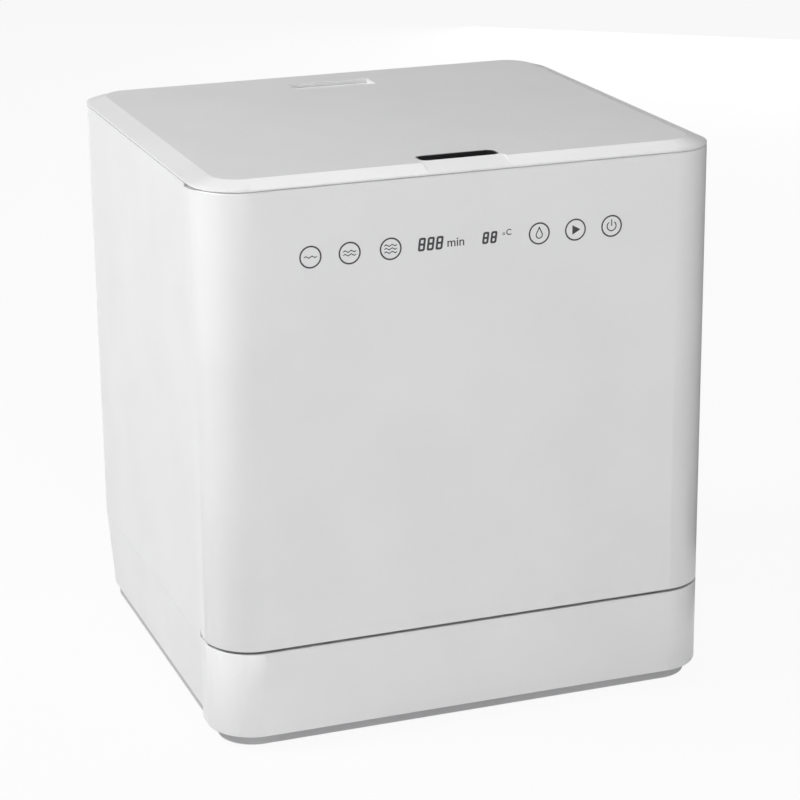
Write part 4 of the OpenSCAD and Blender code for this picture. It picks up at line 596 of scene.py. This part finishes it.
def circuit_board(name):
    """Green solder mask over copper tracks."""
    material, tree, skin, place = start_material(name)
    tracks = tree.nodes.new("ShaderNodeTexBrick")
    tracks.inputs["Scale"].default_value = 160.0
    tracks.inputs["Mortar Size"].default_value = 0.06
    tracks.inputs["Color1"].default_value = (0.012, 0.11, 0.04, 1)
    tracks.inputs["Color2"].default_value = (0.016, 0.13, 0.05, 1)
    tracks.inputs["Mortar"].default_value = (0.05, 0.24, 0.09, 1)
    fine = speckle(tree, place, 700.0)
    join_sockets(
        tree,
        (place, tracks.inputs["Vector"]),
        (tracks.outputs["Color"], skin.inputs["Base Color"]),
        (spread(tree, fine, 0.3, 0.45), skin.inputs["Roughness"]),
    )
    raise_grain(tree, skin, tracks.outputs["Fac"], 0.00003)
    return material


board_green = circuit_board("circuit_board")
dress(board_green, "touch_board")
black_plastic = moulded("black_plastic", (0.012, 0.012, 0.013), rough=0.42, grain=1500.0, depth=0.00003)
dress(black_plastic, "display_module")


# ---- Latch --------------------------------------------------------------------------------
# A black cup lies flush in the finger slot. Fingers pull its sprung flap forward, and the hook
# below the flap lets go of the door's striker.

dress(black_plastic, "latch_cup", "release_lever")
dress(spring_steel, "latch_striker", "latch_pin", "lever_spring")


# ---- Tub and seal -------------------------------------------------------------------------
# The stainless tub stands behind a light grey frame, which holds the rubber door seal. The
# rack's rails are folded steel, the tray's are moulded.

dress(stainless, "tub", "lower_rails")
frame_plastic = moulded("frame_plastic", (0.70, 0.70, 0.71), rough=0.45)
dress(frame_plastic, "tub_front_frame")
seal_rubber = moulded("seal_rubber", (0.11, 0.11, 0.115), rough=0.6, grain=1200.0, gloss=0.35)
dress(seal_rubber, "door_seal")
grey_plastic = moulded("grey_plastic", (0.26, 0.265, 0.28), rough=0.48)
dress(grey_plastic, "upper_rails")


# ---- Rack, rollers and trays --------------------------------------------------------------
# The rack is bent and welded from round wire and dipped in grey nylon. It rolls on four moulded
# rollers and carries the cutlery basket and a folding shelf. The cutlery tray slides above it.


def dipped(name, colour):
    """Nylon dip over wire: slightly lumpy, satin."""
    material, tree, skin, place = start_material(name)
    lumps = speckle(tree, place, 420.0, 2.0)
    cloud = speckle(tree, place, 30.0)
    join_sockets(
        tree,
        (two_tone(tree, cloud, darkened(colour, 0.92), colour), skin.inputs["Base Color"]),
        (spread(tree, lumps, 0.3, 0.42), skin.inputs["Roughness"]),
    )
    skin.inputs["Coat Weight"].default_value = 0.25
    skin.inputs["Coat Roughness"].default_value = 0.3
    raise_grain(tree, skin, lumps, 0.0001)
    return material


dress(dipped("dipped_wire", (0.42, 0.43, 0.45)), "lower_rack", "rack_cross_wires", "rack_rims")
dress(grey_plastic, "roller_front_left", "roller_front_right", "roller_rear_left", "roller_rear_right")
dress(grey_plastic, "cup_shelf")
basket_plastic = moulded("basket_plastic", (0.33, 0.34, 0.36), rough=0.45)
dress(basket_plastic, "cutlery_basket", "upper_tray")


# ---- Spray arms, filter and heater --------------------------------------------------------
# Two moulded arms turn on hollow hubs. The lower hub stands in the sump, the upper one hangs
# from the feed pipe. The heater is a bare steel tube bent to a ring over the tub's floor.

dress(grey_plastic, "lower_spray_arm", "upper_spray_arm", "spray_hub", "upper_feed_pipe")
dress(grey_plastic, "sump", "filter_cup")
dress(stainless, "filter_plate")


def heated_steel(name):
    """Steel tube that heat has tinted straw and blue."""
    material, tree, skin, place = start_material(name)
    cloud = speckle(tree, place, 22.0)
    lines = speckle(tree, place, 1300.0)
    join_sockets(
        tree,
        (two_tone(tree, cloud, (0.42, 0.38, 0.33), (0.40, 0.41, 0.45)), skin.inputs["Base Color"]),
        (spread(tree, lines, 0.28, 0.44), skin.inputs["Roughness"]),
    )
    skin.inputs["Metallic"].default_value = 1.0
    raise_grain(tree, skin, lines, 0.00002)
    return material


dress(heated_steel("heated_steel"), "heater_element")


# ---- Dispenser ----------------------------------------------------------------------------
# The powder cup with its sliding lid and the rinse aid cap sit in the door's inner panel, in
# one pale moulding.

dispenser_plastic = moulded("dispenser_plastic", (0.62, 0.63, 0.64), rough=0.4)
dress(dispenser_plastic, "dispenser_body")
dress(basket_plastic, "dispenser_lid")
cap_blue = moulded("cap_blue", (0.07, 0.14, 0.38), rough=0.4)
dress(cap_blue, "rinse_cap")


# ---- Tank and fill flap -------------------------------------------------------------------
# Water goes in under the flap at the back of the cover, through a funnel, into a blow-moulded
# milky tank behind the tub.

dress(white_plastic, "fill_lid", "fill_funnel")


def milky(name):
    """Unfilled polyethylene: pale, waxy and slightly see-through."""
    material, tree, skin, place = start_material(name)
    cloud = speckle(tree, place, 18.0)
    fine = speckle(tree, place, 900.0)
    join_sockets(
        tree,
        (two_tone(tree, cloud, (0.74, 0.77, 0.80), (0.82, 0.84, 0.86)), skin.inputs["Base Color"]),
        (spread(tree, fine, 0.4, 0.5), skin.inputs["Roughness"]),
    )
    skin.inputs["Transmission Weight"].default_value = 0.3
    skin.inputs["IOR"].default_value = 1.5
    raise_grain(tree, skin, fine, 0.00003)
    return material


dress(milky("milky_tank"), "water_tank")


# ---- Pumps and connections ----------------------------------------------------------------
# The pumps, the drain hose and the power board are in the base. The inlet's stub and the drain
# spigot end in a pocket at the back, beside the gland of the mains lead.

pump_plastic = moulded("pump_plastic", (0.03, 0.03, 0.033), rough=0.5)
dress(pump_plastic, "wash_pump", "drain_pump")
valve_plastic = moulded("valve_plastic", (0.72, 0.72, 0.70), rough=0.42)
dress(valve_plastic, "inlet_valve")
dress(grey_plastic, "drain_spigot")
dress(foot_rubber, "drain_hose")
dress(board_green, "power_board")
dress(black_plastic, "mains_gland")
